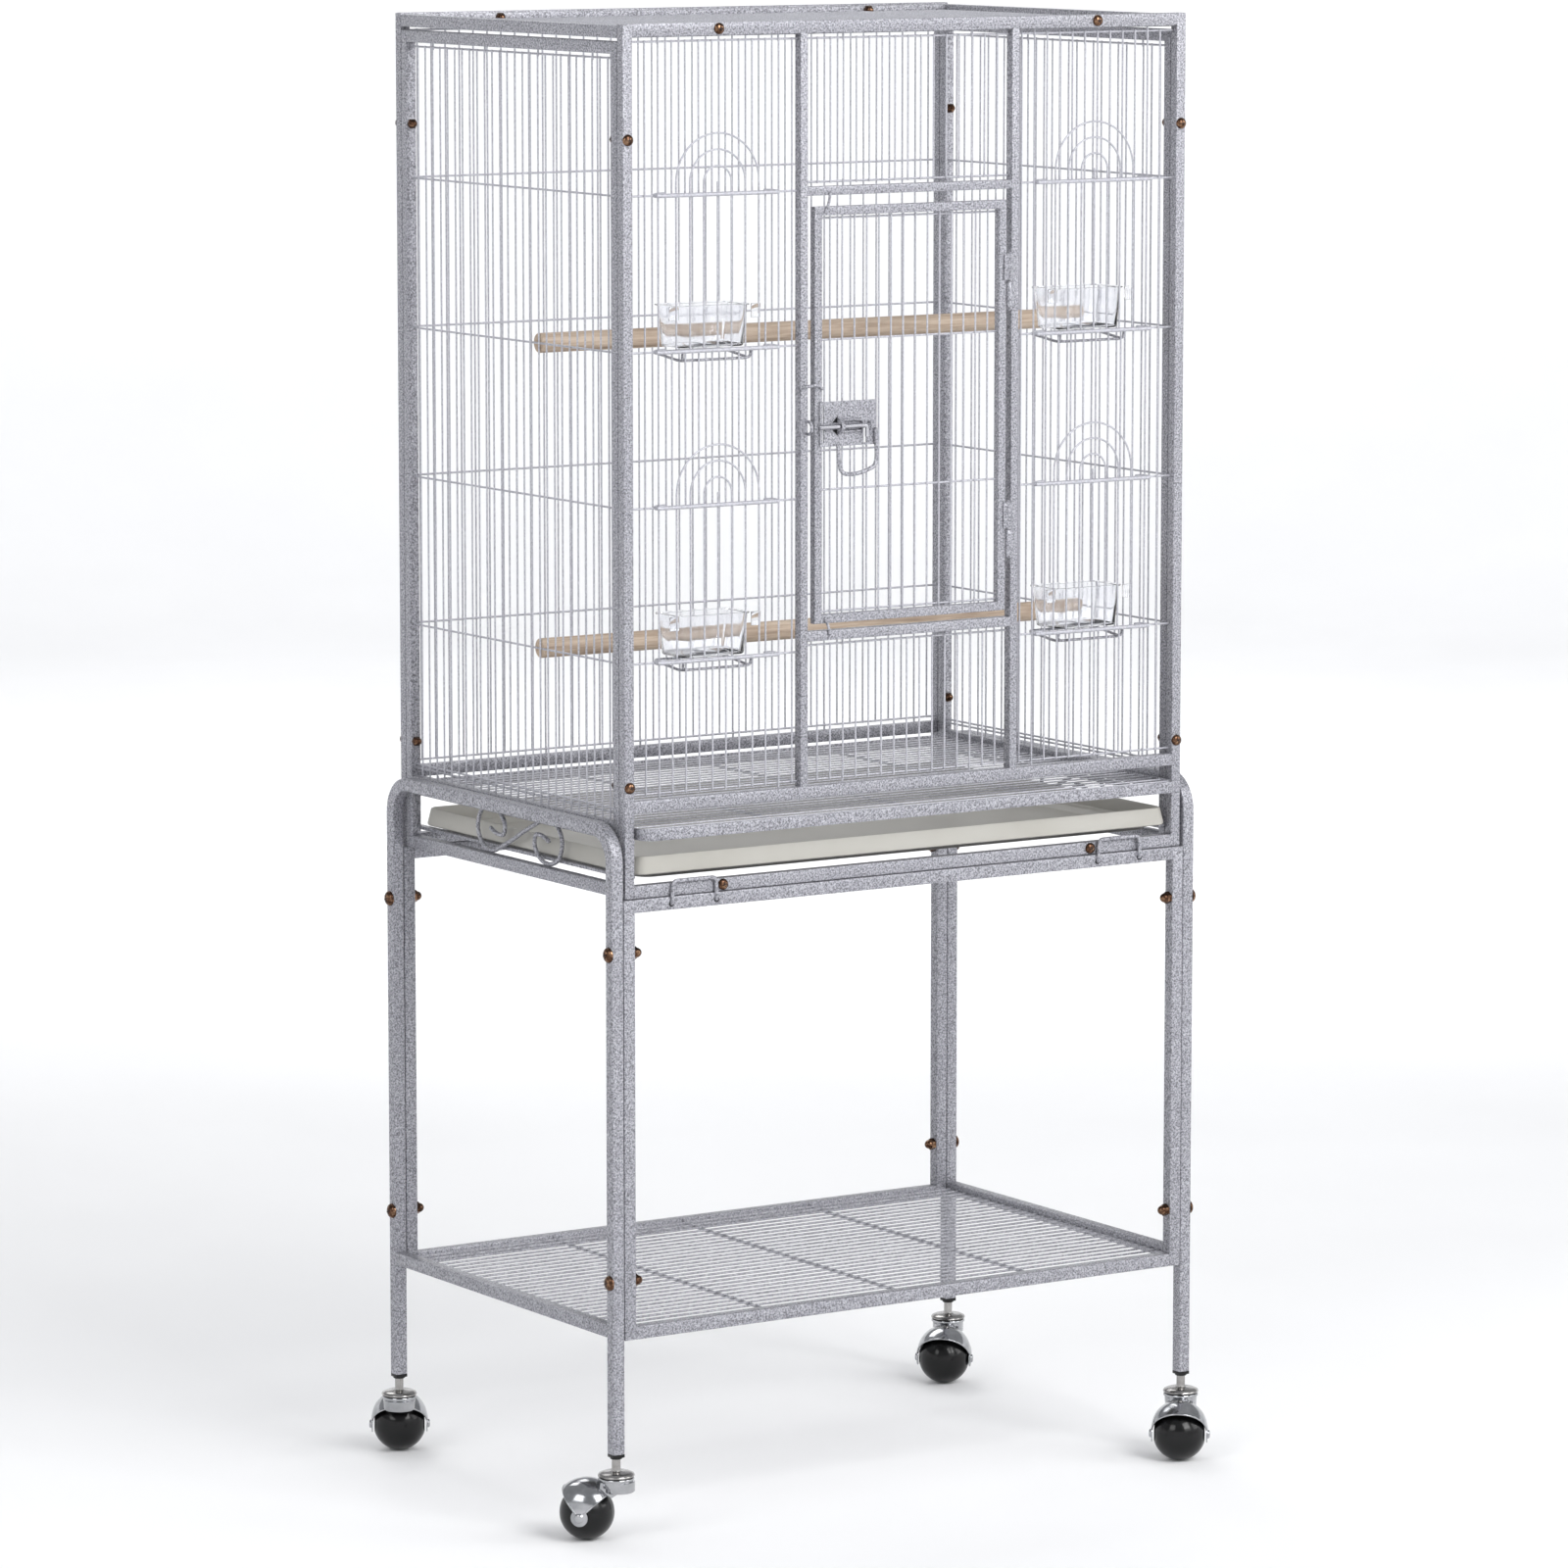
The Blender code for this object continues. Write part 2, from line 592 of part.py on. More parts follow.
def build_stand():
    leg_frame("stand_legs_left", -1)
    leg_frame("stand_legs_right", 1)
    outer = STAND_WIDTH / 2 - LEG_TUBE - 0.0003
    inner = outer - LEG_TUBE
    for name, y0 in (("stand_front_frame", -STAND_DEPTH / 2),
                     ("stand_back_frame", STAND_DEPTH / 2 - LEG_TUBE)):
        y1 = y0 + LEG_TUBE
        boxes = [((-outer, y0, SHELF_RAIL[0]), (-inner, y1, STAND_RAIL[1])),
                 ((inner, y0, SHELF_RAIL[0]), (outer, y1, STAND_RAIL[1])),
                 ((-inner, y0, STAND_RAIL[0]), (inner, y1, STAND_RAIL[1])),
                 ((-inner, y0, SHELF_RAIL[0]), (inner, y1, SHELF_RAIL[1]))]
        place(name, boxes_mesh(name, boxes, COATED))

    edge = STAND_WIDTH / 2 - LEG_TUBE - GAP
    deep = STAND_DEPTH / 2 - LEG_TUBE - GAP
    half = WIRE / 2
    boxes = [((-edge, y - half, 0.1915), (edge, y + half, 0.1935))
             for y in spread(-deep + 0.0065, deep - 0.0065, 28)]
    for x in (-edge, edge - 2 * half):
        boxes.append(((x, -deep, 0.1915), (x + 2 * half, deep, 0.1935)))
    place("shelf_grid", boxes_mesh("shelf_grid", boxes, COATED))

    turn_in = [(0.0518, 0.0), (0.0400, -0.0040), (0.0285, -0.0030), (0.0272, 0.0080),
               (0.0380, 0.0182), (0.0540, 0.0205), (0.0690, 0.0140), (0.0750, -0.0020),
               (0.0660, -0.0160), (0.0480, -0.0205), (0.0280, -0.0130), (0.0080, -0.0040)]
    controls = turn_in + [(-u, -v) for u, v in reversed(turn_in)]
    for name, sign in (("scroll_left", -1), ("scroll_right", 1)):
        x = sign * (HALF_W - TUBE / 2)
        path = curve_through([(x, u - 0.0085, v + 0.6190) for u, v in controls], 2)
        place(name, tube_mesh(name, path, 0.0019, 6, COATED, (1, 0, 0)))

    clip_y = STAND_DEPTH / 2 + 0.0003
    path = [(-0.0232, 0, 0.0)]
    for x, z, start in ((-0.0192, 0.0095, 180), (0.0192, 0.0095, 90)):
        for i in range(5):
            a = math.radians(start - 90 * i / 4)
            path.append((x + 0.0040 * math.cos(a), 0, z + 0.0040 * math.sin(a)))
    path.append((0.0232, 0, 0.0))
    clip = tube_mesh("clip", path, 0.0014, 6, COATED, (0, 1, 0))
    for side, sign in (("left", -1), ("right", 1)):
        for end, y in (("front", -clip_y), ("back", clip_y)):
            place("clip_%s_%s" % (end, side), clip, (sign * 0.2335, y, STAND_RAIL[1] + GAP))


# ---- casters --------------------------------------------------------------------------
def hood_mesh():
    """Domed hood round the ball, its middle at the axle, the axle along Y."""
    across_out, up_out, thick = 0.0268, 0.0315, 0.0013
    start, finish = math.radians(42), math.radians(132)
    steps, stations = 6, 8
    rings = []
    for j in range(steps + 1):
        a = start + (finish - start) * j / steps
        ring = []
        for shrink in (0.0, thick):
            arc = []
            for i in range(stations + 1):
                t = math.radians(4 + 172 * i / stations)
                w = -(across_out - shrink) * math.cos(t)
                r = (up_out - shrink) * math.sin(t)
                arc.append((r * math.cos(a), w, r * math.sin(a)))
            ring += arc if shrink == 0.0 else arc[::-1]
        rings.append(ring)
    count = len(rings[0])
    points = [p for ring in rings for p in ring]
    faces = []
    for level in range(steps):
        for i in range(count):
            j = (i + 1) % count
            low, high = level * count, (level + 1) * count
            faces.append([low + i, high + i, high + j, low + j])
    for level, flip in ((0, False), (steps, True)):
        base = level * count
        for i in range(stations):
            quad = [base + i, base + i + 1, base + count - 2 - i, base + count - 1 - i]
            faces.append(quad[::-1] if flip else quad)
    dome = mesh_of("hood_dome", points, faces, CHROME, True)

    parts = [dome]
    for side, sign in (("a", -1), ("b", 1)):
        lobe = turned("hood_lobe_" + side, [(0.0070, -0.0010), (0.0070, 0.0012)], 16, CHROME)
        lobe.transform(Matrix.Translation((0, sign * 0.0264, 0))
                       @ Matrix.Rotation(math.pi / 2, 4, "X"))
        parts.append(lobe)
    race = turned("hood_race", [(0.0148, 0.0290), (0.0160, 0.0300), (0.0160, 0.0338)], 16,
                  CHROME)
    race.transform(Matrix.Translation((TRAIL, 0, 0)))
    parts.append(race)
    outline = [(0.0150, 0.0240), (0.0262, 0.0160), (0.0390, 0.0298), (0.0160, 0.0300)]
    rings = [[(x, y, z) for x, z in outline] for y in (0.0120, -0.0120)]
    parts.append(rings_mesh("hood_neck", rings, CHROME, smooth=False))
    return joined("caster_hood", parts, CHROME)


def build_casters():
    hood = hood_mesh()
    profile = []
    flat = 0.0222
    sides = 24
    half_side = math.pi / sides      # a facet, not a corner, meets the floor
    limit = math.asin(flat / WHEEL_RADIUS)
    for i in range(9):
        a = -limit + 2 * limit * i / 8
        profile.append((WHEEL_RADIUS * math.cos(a) / math.cos(half_side),
                        WHEEL_RADIUS * math.sin(a)))
    wheel = turned("caster_wheel", profile, sides, BLACK)
    wheel.transform(Matrix.Rotation(math.pi / 2, 4, "X")
                    @ Matrix.Rotation(half_side, 4, "Z"))
    stem = turned("caster_stem", [(0.0080, 0.0591), (0.0163, 0.0593), (0.0166, 0.0605),
                                  (0.0130, 0.0635), (0.0040, 0.0640), (0.0040, 0.0770)],
                  16, STEEL)
    half = LEG_TUBE / 2
    plug = boxes_mesh("leg_plug", [((-half, -half, 0.0773), (half, half, 0.0797))], BLACK)
    leg_x = STAND_WIDTH / 2 - half
    leg_y = STAND_DEPTH / 2 - half
    for corner, (sx, sy, angle) in CASTERS.items():
        centre = (sx * leg_x, sy * leg_y, 0.0)
        place("leg_plug_" + corner, plug, centre)
        place("caster_stem_" + corner, stem, centre)
        swivel = empty("caster_swivel_" + corner, centre, math.radians(angle - 180))
        axle = (-TRAIL, 0, WHEEL_RADIUS)
        place("caster_hood_" + corner, hood, axle, parent=swivel)
        place("caster_wheel_" + corner, wheel, axle, parent=swivel)


clear_scene()
build_cage()
build_perches()
build_door()
build_feeders()
build_floor()
build_stand()
build_casters()
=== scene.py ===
"""Looks of the bird cage on its stand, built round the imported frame. Metres, +Z up, front to -Y."""
import math

import bmesh
import bpy
from mathutils import Matrix, Vector


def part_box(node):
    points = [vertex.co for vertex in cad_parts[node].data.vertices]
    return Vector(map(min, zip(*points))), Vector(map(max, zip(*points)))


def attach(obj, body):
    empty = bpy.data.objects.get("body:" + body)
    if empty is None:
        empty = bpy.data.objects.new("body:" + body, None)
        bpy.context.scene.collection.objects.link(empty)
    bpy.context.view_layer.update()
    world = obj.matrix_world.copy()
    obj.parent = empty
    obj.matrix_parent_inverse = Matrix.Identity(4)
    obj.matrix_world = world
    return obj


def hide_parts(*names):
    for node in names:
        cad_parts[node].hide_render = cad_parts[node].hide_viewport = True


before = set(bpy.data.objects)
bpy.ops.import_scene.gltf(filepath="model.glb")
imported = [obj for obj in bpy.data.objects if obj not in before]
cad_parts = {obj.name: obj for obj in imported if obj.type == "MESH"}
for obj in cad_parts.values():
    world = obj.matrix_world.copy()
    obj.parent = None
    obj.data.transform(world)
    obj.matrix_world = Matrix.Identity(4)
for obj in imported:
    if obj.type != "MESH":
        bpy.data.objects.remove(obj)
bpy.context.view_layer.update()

# ---- sizes, as in the frame
FRONT_LOW, FRONT_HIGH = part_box("front_frame")
TOP = FRONT_HIGH.z
FOOT = FRONT_LOW.z
HALF_W = FRONT_HIGH.x
HALF_D = -FRONT_LOW.y
TUBE = 0.010
INNER_W = HALF_W - TUBE
PANEL_Y = HALF_D - TUBE - 0.0005
TOP_RAIL = TOP - 0.0115
LOW_RAIL = FOOT + 0.0115
SILL = (0.6605, 0.6715)
BACK_SILL = (0.6485, 0.6595)
SIDE_TOP = (1.3335, 1.3445)
SIDE_MID = (0.6425, 0.6520)
ROW_STEP = 0.1383
ROWS = [1.2086 - ROW_STEP * i for i in range(4)]
MULLION = (0.1107, 0.1187)
DOOR_HEAD = (1.2040, 1.2120)
DOOR_FOOT = (0.8030, 0.8120)
MESH_Y = HALF_D - 0.0055
WIRE = 0.00086    # radius of an upright
CROSS = 0.00095   # radius of a cross wire
PITCH = 0.01407   # from one upright of the front to the next
WELD = 0.0004     # how far a tube runs into the one it is welded to

LEG_LOW, LEG_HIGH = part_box("stand_legs_right")
LEG = 0.012
LEG_X = LEG_HIGH.x
LEG_Y = LEG_HIGH.y
STAND_RAIL = (0.5715, 0.5835)
SHELF_RAIL = (0.1835, 0.1955)
SIDE_RAIL = (0.1860, 0.1980)
BEND = 0.029

HINGE = (0.10785, -0.2005)
ROD_Y = -0.2062
ROD_Z = 0.9967
FEEDER_X = 0.2047
FEEDER_PITCH = 0.0145
CAGE_BOLT = (0.0052, 0.0036)      # radius and height of a head
CAGE_NUT = (0.0044, 0.0068)
STAND_BOLT = (0.0070, 0.0046)
STAND_NUT = (0.0054, 0.0095)
CROSS_BARS = (-0.146, 0.0, 0.146)    # under the wires of the grate and the shelf
WHEEL = 0.025
TRAIL = 0.0275
TRAY_RIM = 11     # bands of the tray from its foot to the inside of its rim
TRAY_LIP = 3      # bands of the tray under its skirt, which are given the painted shade ivory
CASTERS = {"fl": (-1, -1, 133), "bl": (-1, 1, 60), "fr": (1, -1, 232), "br": (1, 1, 228)}


# ---- materials
class Shader:
    """A Principled material with noise in its colour, roughness and relief."""

    def __init__(self, name, roughness=0.4, metallic=0.0, **sockets):
        self.material = bpy.data.materials.new(name)
        self.material.use_nodes = True
        self.tree = self.material.node_tree
        self.surface = self.tree.nodes["Principled BSDF"]
        self.surface.inputs["Roughness"].default_value = roughness
        self.surface.inputs["Metallic"].default_value = metallic
        for socket, value in sockets.items():
            self.surface.inputs[socket.replace("_", " ")].default_value = value
        self.place = self.tree.nodes.new("ShaderNodeTexCoord").outputs["Object"]

    def link(self, a, b):
        self.tree.links.new(a, b)

    def stretched(self, scale):
        node = self.tree.nodes.new("ShaderNodeMapping")
        node.inputs["Scale"].default_value = scale
        self.link(self.place, node.inputs["Vector"])
        return node.outputs["Vector"]

    def noise(self, scale, detail=2.0, rough=0.5, distortion=0.0, vector=None):
        node = self.tree.nodes.new("ShaderNodeTexNoise")
        node.inputs["Scale"].default_value = scale
        node.inputs["Detail"].default_value = detail
        node.inputs["Roughness"].default_value = rough
        node.inputs["Distortion"].default_value = distortion
        self.link(vector or self.place, node.inputs["Vector"])
        return node.outputs["Fac"]

    def ramp(self, value, stops):
        node = self.tree.nodes.new("ShaderNodeValToRGB")
        ramp = node.color_ramp
        while len(ramp.elements) < len(stops):
            ramp.elements.new(0.5)
        for element, (position, colour) in zip(ramp.elements, stops):
            element.position = position
            element.color = (*colour, 1.0)
        self.link(value, node.inputs["Fac"])
        return node.outputs["Color"]

    def span(self, value, low, high, start=0.3, end=0.7):
        node = self.tree.nodes.new("ShaderNodeMapRange")
        node.inputs["From Min"].default_value = start
        node.inputs["From Max"].default_value = end
        node.inputs["To Min"].default_value = low
        node.inputs["To Max"].default_value = high
        self.link(value, node.inputs["Value"])
        return node.outputs["Result"]

    def mix(self, factor, a, b, kind="MIX"):
        node = self.tree.nodes.new("ShaderNodeMix")
        node.data_type = "RGBA"
        node.blend_type = kind
        for socket, value in (("Factor", factor), ("A", a), ("B", b)):
            target = [s for s in node.inputs if s.name == socket and s.enabled][0]
            if isinstance(value, float):
                target.default_value = value
            elif isinstance(value, tuple):
                target.default_value = (*value, 1.0)
            else:
                self.link(value, target)
        return [s for s in node.outputs if s.enabled][0]

    def colour(self, value):
        self.link(value, self.surface.inputs["Base Color"])

    def rough(self, value):
        self.link(value, self.surface.inputs["Roughness"])

    def bump(self, value, depth, strength=1.0):
        node = self.tree.nodes.new("ShaderNodeBump")
        node.inputs["Distance"].default_value = depth
        node.inputs["Strength"].default_value = strength
        self.link(value, node.inputs["Height"])
        self.link(node.outputs["Normal"], self.surface.inputs["Normal"])

    def finish(self, pattern, low, high, rough, relief, depth, strength):
        """Colour from low to high and roughness along one pattern, relief along another."""
        self.colour(self.ramp(pattern, [low, high]))
        self.rough(self.span(pattern, *rough))
        self.bump(relief, depth, strength)
        return self.material


def hammered(name, contrast, plain):
    """Silver grey hammered powder coat: worm-shaped dark creases between bright pebbles."""
    made = Shader(name, metallic=0.35)
    creases = made.noise(620.0, 2.0, 0.5, 0.5)
    grain = made.noise(900.0, 2.0, 0.6)
    broad = made.noise(9.0, 2.0, 0.5)
    tone = made.ramp(creases, [(0.35, (0.110, 0.110, 0.122)), (0.46, (0.260, 0.260, 0.285)),
                               (0.54, (0.380, 0.380, 0.415)), (0.72, (0.600, 0.600, 0.640))])
    tone = made.mix(contrast, (plain, plain, plain * 1.08), tone)
    speck = made.ramp(grain, [(0.35, (0.80, 0.80, 0.81)), (0.65, (1.0, 1.0, 1.0))])
    tone = made.mix(1.0, tone, speck, "MULTIPLY")
    worn = made.ramp(broad, [(0.3, (0.94, 0.94, 0.95)), (0.7, (1.0, 1.0, 1.0))])
    made.colour(made.mix(1.0, tone, worn, "MULTIPLY"))
    made.rough(made.span(creases, 0.52, 0.32))
    made.bump(creases, 0.0004, 0.45 * contrast + 0.1)
    return made.material


def bronze_bolt():
    made = Shader("bronzed_bolt", metallic=1.0)
    patches = made.noise(260.0, 3.0, 0.6)
    made.colour(made.ramp(patches, [(0.3, (0.016, 0.009, 0.006)), (0.5, (0.105, 0.055, 0.034)),
                                    (0.75, (0.380, 0.235, 0.145))]))
    made.rough(made.span(patches, 0.30, 0.16))
    made.bump(patches, 0.0002, 0.4)
    return made.material


def plated(name, low, high, rough_low, rough_high):
    made = Shader(name, metallic=1.0)
    smudge = made.noise(55.0, 4.0, 0.6)
    pits = made.noise(1400.0, 1.0, 0.5)
    return made.finish(smudge, (0.3, low), (0.7, high), (rough_high, rough_low), pits, 0.00005, 0.25)


def glossy_black():
    made = Shader("black_moulding", Specular_IOR_Level=0.28, Coat_Weight=0.05,
                  Coat_Roughness=0.05)
    scuffs = made.noise(160.0, 5.0, 0.65)
    return made.finish(scuffs, (0.35, (0.003, 0.003, 0.003)), (0.8, (0.009, 0.009, 0.010)),
                       (0.15, 0.22), scuffs, 0.00005, 0.08)


def ivory_sheet(name, shade):
    made = Shader(name, Specular_IOR_Level=0.45)
    cloud = made.noise(14.0, 3.0, 0.5)
    fine = made.noise(700.0, 2.0, 0.5)
    dull = tuple(shade * c for c in (0.600, 0.580, 0.525))
    clean = tuple(shade * c for c in (0.660, 0.645, 0.595))
    return made.finish(cloud, (0.3, dull), (0.7, clean), (0.36, 0.46), fine, 0.0001, 0.25)


def clear_moulding():
    made = Shader("clear_moulding", IOR=1.46, Transmission_Weight=1.0)
    haze = made.noise(60.0, 3.0, 0.5)
    return made.finish(haze, (0.3, (0.945, 0.950, 0.975)), (0.7, (0.975, 0.978, 0.990)),
                       (0.02, 0.08), haze, 0.0004, 0.25)


def plain_wood():
    made = Shader("sanded_wood", Specular_IOR_Level=0.35)
    grain = made.noise(60.0, 5.0, 0.6, 0.4, made.stretched((0.10, 1.6, 1.6)))
    fibres = made.noise(420.0, 3.0, 0.6, 0.0, made.stretched((0.06, 1.0, 1.0)))
    tone = made.ramp(grain, [(0.30, (0.310, 0.232, 0.172)), (0.50, (0.470, 0.372, 0.288)),
                             (0.75, (0.600, 0.500, 0.400))])
    lines = made.ramp(fibres, [(0.35, (0.78, 0.76, 0.74)), (0.60, (1.0, 1.0, 1.0))])
    made.colour(made.mix(1.0, tone, lines, "MULTIPLY"))
    made.rough(made.span(fibres, 0.70, 0.55))
    made.bump(fibres, 0.0003, 0.5)
    return made.material


# Near-black painted shade for recesses, holes and the backing behind slots, with a faint mottle
def painted_hollow_shade():
    made = Shader("painted_hollow_shade", Specular_IOR_Level=0.2)
    shade_mottle = made.noise(300.0, 2.0, 0.5)
    return made.finish(shade_mottle, (0.3, (0.010, 0.010, 0.012)), (0.7, (0.030, 0.030, 0.034)),
                       (0.7, 0.9), shade_mottle, 0.0002, 0.3)


COAT = hammered("hammered_coat", 0.85, 0.40)
WIRE_COAT = hammered("hammered_coat_on_wire", 0.35, 0.58)
SHELF_COAT = hammered("hammered_coat_on_shelf", 0.60, 0.34)
BRONZE = bronze_bolt()
CHROME = plated("bright_chrome", (0.30, 0.31, 0.32), (0.50, 0.50, 0.52), 0.08, 0.20)
ZINC = plated("zinc_rod", (0.38, 0.38, 0.41), (0.54, 0.54, 0.57), 0.16, 0.28)
STEEL = plated("dark_steel", (0.30, 0.29, 0.28), (0.46, 0.45, 0.44), 0.16, 0.26)
BLACK = glossy_black()
IVORY = ivory_sheet("ivory_sheet", 0.62)
IVORY_INSIDE = ivory_sheet("ivory_sheet_inside", 0.62)
# painted shade: a dark copy of the ivory for the tray's underside and the bands under its skirt,
# standing in for the shadow under the tray
IVORY_PAINTED_SHADE = ivory_sheet("ivory_sheet_painted_shade", 0.14)
CLEAR = clear_moulding()
WOOD = plain_wood()
PAINTED_SHADE = painted_hollow_shade()


# ---- shapes
def bands(count, size, closed=False):
    """Quads between neighbouring rings of points, all of one size."""
    faces = []
    for i in range(count if closed else count - 1):
        near, far = i * size, (i + 1) % count * size
        for k in range(size):
            m = (k + 1) % size
            faces.append([near + k, near + m, far + m, far + k])
    return faces


def capped(count, size):
    """Bands with a face over the first ring and one over the last."""
    last = (count - 1) * size
    return bands(count, size) + [list(range(size))[::-1], list(range(last, last + size))]


def linked(name, data):
    item = bpy.data.objects.new(name, data)
    bpy.context.scene.collection.objects.link(item)
    return item


class Shape:
    """Collects the pieces of one visible object."""

    def __init__(self):
        self.points = []
        self.faces = []
        self.slots = []
        self.materials = []

    def add(self, points, faces, look):
        if look not in self.materials:
            self.materials.append(look)
        base = len(self.points)
        self.points += [tuple(p) for p in points]
        self.faces += [[base + i for i in face] for face in faces]
        self.slots += [self.materials.index(look)] * len(faces)

    def bar(self, low, high, look=COAT, edge=0.0009, steps=2):
        """A box with rounded edges."""
        work = bmesh.new()
        bmesh.ops.create_cube(work, size=1.0)
        low, high = Vector(low), Vector(high)
        size = high - low
        middle = (low + high) / 2
        for v in work.verts:
            v.co = Vector((v.co[i] * size[i] + middle[i] for i in range(3)))
        edge = min(edge, min(size) * 0.45)
        bmesh.ops.bevel(work, geom=work.edges[:], offset=edge, segments=steps, profile=0.5,
                        affect="EDGES")
        work.verts.index_update()
        self.add([v.co for v in work.verts], [[v.index for v in f.verts] for f in work.faces],
                 look)
        work.free()

    def sweep(self, path, outline, side, look=COAT, closed=False):
        """An outline of (along side, across) pairs carried along a path square to side."""
        side = Vector(side)
        path = [Vector(p) for p in path]
        count = len(path)
        size = len(outline)
        points = []
        for i, point in enumerate(path):
            before = path[(i - 1) % count] if closed or i else point
            after = path[(i + 1) % count] if closed or i < count - 1 else point
            first = (point - before) if before != point else (after - point)
            second = (after - point) if after != point else first
            first, second = first.normalized(), second.normalized()
            ahead = (first + second).normalized()
            across = ahead.cross(side).normalized()
            stretch = 1.0 / max(0.5, ahead.dot(first))
            points += [point + side * u + across * (v * stretch) for u, v in outline]
        self.add(points, bands(count, size, True) if closed else capped(count, size), look)

    def rod(self, path, radius, look=WIRE_COAT, sides=8):
        """Round wire along any path, with slightly domed ends."""
        path = [Vector(p) for p in path]
        for end, near in ((0, 1), (-1, -2)):
            step = (path[end] - path[near]).normalized()
            path.insert(0 if end == 0 else len(path), path[end] + step * radius * 0.35)
        count = len(path)
        tangents = []
        for i in range(count):
            before = path[max(i - 1, 0)]
            after = path[min(i + 1, count - 1)]
            tangents.append((after - before).normalized())
        normal = tangents[0].orthogonal().normalized()
        points = []
        for i, point in enumerate(path):
            normal = (normal - tangents[i] * normal.dot(tangents[i])).normalized()
            other = tangents[i].cross(normal)
            size = radius * (0.55 if i in (0, count - 1) else 1.0)
            for k in range(sides):
                a = 2 * math.pi * k / sides
                points.append(point + normal * (size * math.cos(a)) + other * (size * math.sin(a)))
        self.add(points, capped(count, sides), look)

    def turned(self, profile, look, place=Matrix.Identity(4), sides=32):
        """A solid turned about Z from (radius, height) pairs; a radius of 0 closes it."""
        points = []
        rings = []
        for radius, height in profile:
            if radius == 0:
                rings.append([len(points)])
                points.append(place @ Vector((0, 0, height)))
                continue
            rings.append(list(range(len(points), len(points) + sides)))
            for k in range(sides):
                a = 2 * math.pi * k / sides
                points.append(place @ Vector((radius * math.cos(a), radius * math.sin(a), height)))
        faces = []
        for near, far in zip(rings, rings[1:]):
            for k in range(sides):
                m = (k + 1) % sides
                if len(near) == 1:
                    faces.append([near[0], far[m], far[k]])
                elif len(far) == 1:
                    faces.append([near[k], near[m], far[0]])
                else:
                    faces.append([near[k], near[m], far[m], far[k]])
        self.add(points, faces, look)

    def carried(self, matrix):
        self.points = [tuple(matrix @ Vector(p)) for p in self.points]
        return self

    def show(self, name, body, replaces=(), slot="hammered_coat", sharp=38):
        mesh = bpy.data.meshes.new(name)
        mesh.from_pydata(self.points, [], self.faces)
        for look in self.materials:
            mesh.materials.append(look)
        mesh.polygons.foreach_set("material_index", self.slots)
        work = bmesh.new()
        work.from_mesh(mesh)
        bmesh.ops.recalc_face_normals(work, faces=work.faces)
        work.to_mesh(mesh)
        work.free()
        mesh.shade_smooth()
        mesh.set_sharp_from_angle(angle=math.radians(sharp))
        item = linked(name, mesh)
        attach(item, body)
        if replaces:
            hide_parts(*replaces)
        return item


def rounded_square(half_u, half_v, radius, steps=3):
    outline = []
    for cu, cv, start in ((1, 1, 0), (-1, 1, 90), (-1, -1, 180), (1, -1, 270)):
        for i in range(steps + 1):
            a = math.radians(start + 90 * i / steps)
            outline.append((cu * (half_u - radius) + radius * math.cos(a),
                            cv * (half_v - radius) + radius * math.sin(a)))
    return outline


def rounded_loop(half_x, y0, y1, radius, z, steps=8):
    points = []
    for x, y, start in ((half_x - radius, y0 + radius, -90), (half_x - radius, y1 - radius, 0),
                        (radius - half_x, y1 - radius, 90), (radius - half_x, y0 + radius, 180)):
        for i in range(steps + 1):
            a = math.radians(start + 90 * i / steps)
            points.append(Vector((x + radius * math.cos(a), y + radius * math.sin(a), z)))
    return points


def smooth_line(controls, steps):
    """Points along a smooth line through the control points."""
    controls = [Vector(c) for c in controls]
    last = len(controls) - 1
    points = []
    for i in range(last):
        a, b = controls[max(i - 1, 0)], controls[i]
        c, d = controls[i + 1], controls[min(i + 2, last)]
        for k in range(steps):
            t = k / steps
            points.append(0.5 * (2 * b + (c - a) * t + (2 * a - 5 * b + 4 * c - d) * t * t
                                 + (3 * b - a - 3 * c + d) * t * t * t))
    points.append(controls[-1])
    return points


def bent(corners, radius, steps=5):
    """A path through corner points with each inner corner rounded."""
    corners = [Vector(c) for c in corners]
    points = [corners[0]]
    for before, corner, after in zip(corners, corners[1:], corners[2:]):
        reach = min(radius, (corner - before).length * 0.49, (after - corner).length * 0.49)
        a = corner + (before - corner).normalized() * reach
        b = corner + (after - corner).normalized() * reach
        for k in range(steps + 1):
            t = k / steps
            points.append(a * (1 - t) ** 2 + corner * (2 * t * (1 - t)) + b * t * t)
    points.append(corners[-1])
    return points


def spread(first, last, count):
    return [first + (last - first) * i / (count - 1) for i in range(count)]


def facing(point, direction):
    """A placement that turns +Z to the direction at a point."""
    turn = Vector((0, 0, 1)).rotation_difference(Vector(direction)).to_matrix().to_4x4()
    return Matrix.Translation(point) @ turn


def dome(radius, base, height):
    """Profile of a dome from its edge at base up to its crown."""
    turns = [math.radians(90 * i / 7) for i in range(1, 7)]
    return [(radius * math.cos(a), base + (height - base) * math.sin(a)) for a in turns] + [(0, height)]


def domed_head(shape, point, direction, radius, height):
    """Domed bolt head with a cross recess, standing on a surface."""
    place = facing(point, direction)
    edge = 0.0003
    shape.turned([(radius, -0.0004), (radius, edge)] + dome(radius, edge, height), BRONZE, place, 24)
    # the cross recess is not cut: two near-flush bars in painted shade stand in for the shadow inside
    # it
    for turn in (0, 90):
        cut = Shape()
        cut.bar((-radius * 0.42, -0.00035, height * 0.80), (radius * 0.42, 0.00035, height * 1.01),
                PAINTED_SHADE, 0.0001, 1)
        cut.carried(place @ Matrix.Rotation(math.radians(turn + 20), 4, "Z"))
        shape.add(cut.points, cut.faces, PAINTED_SHADE)


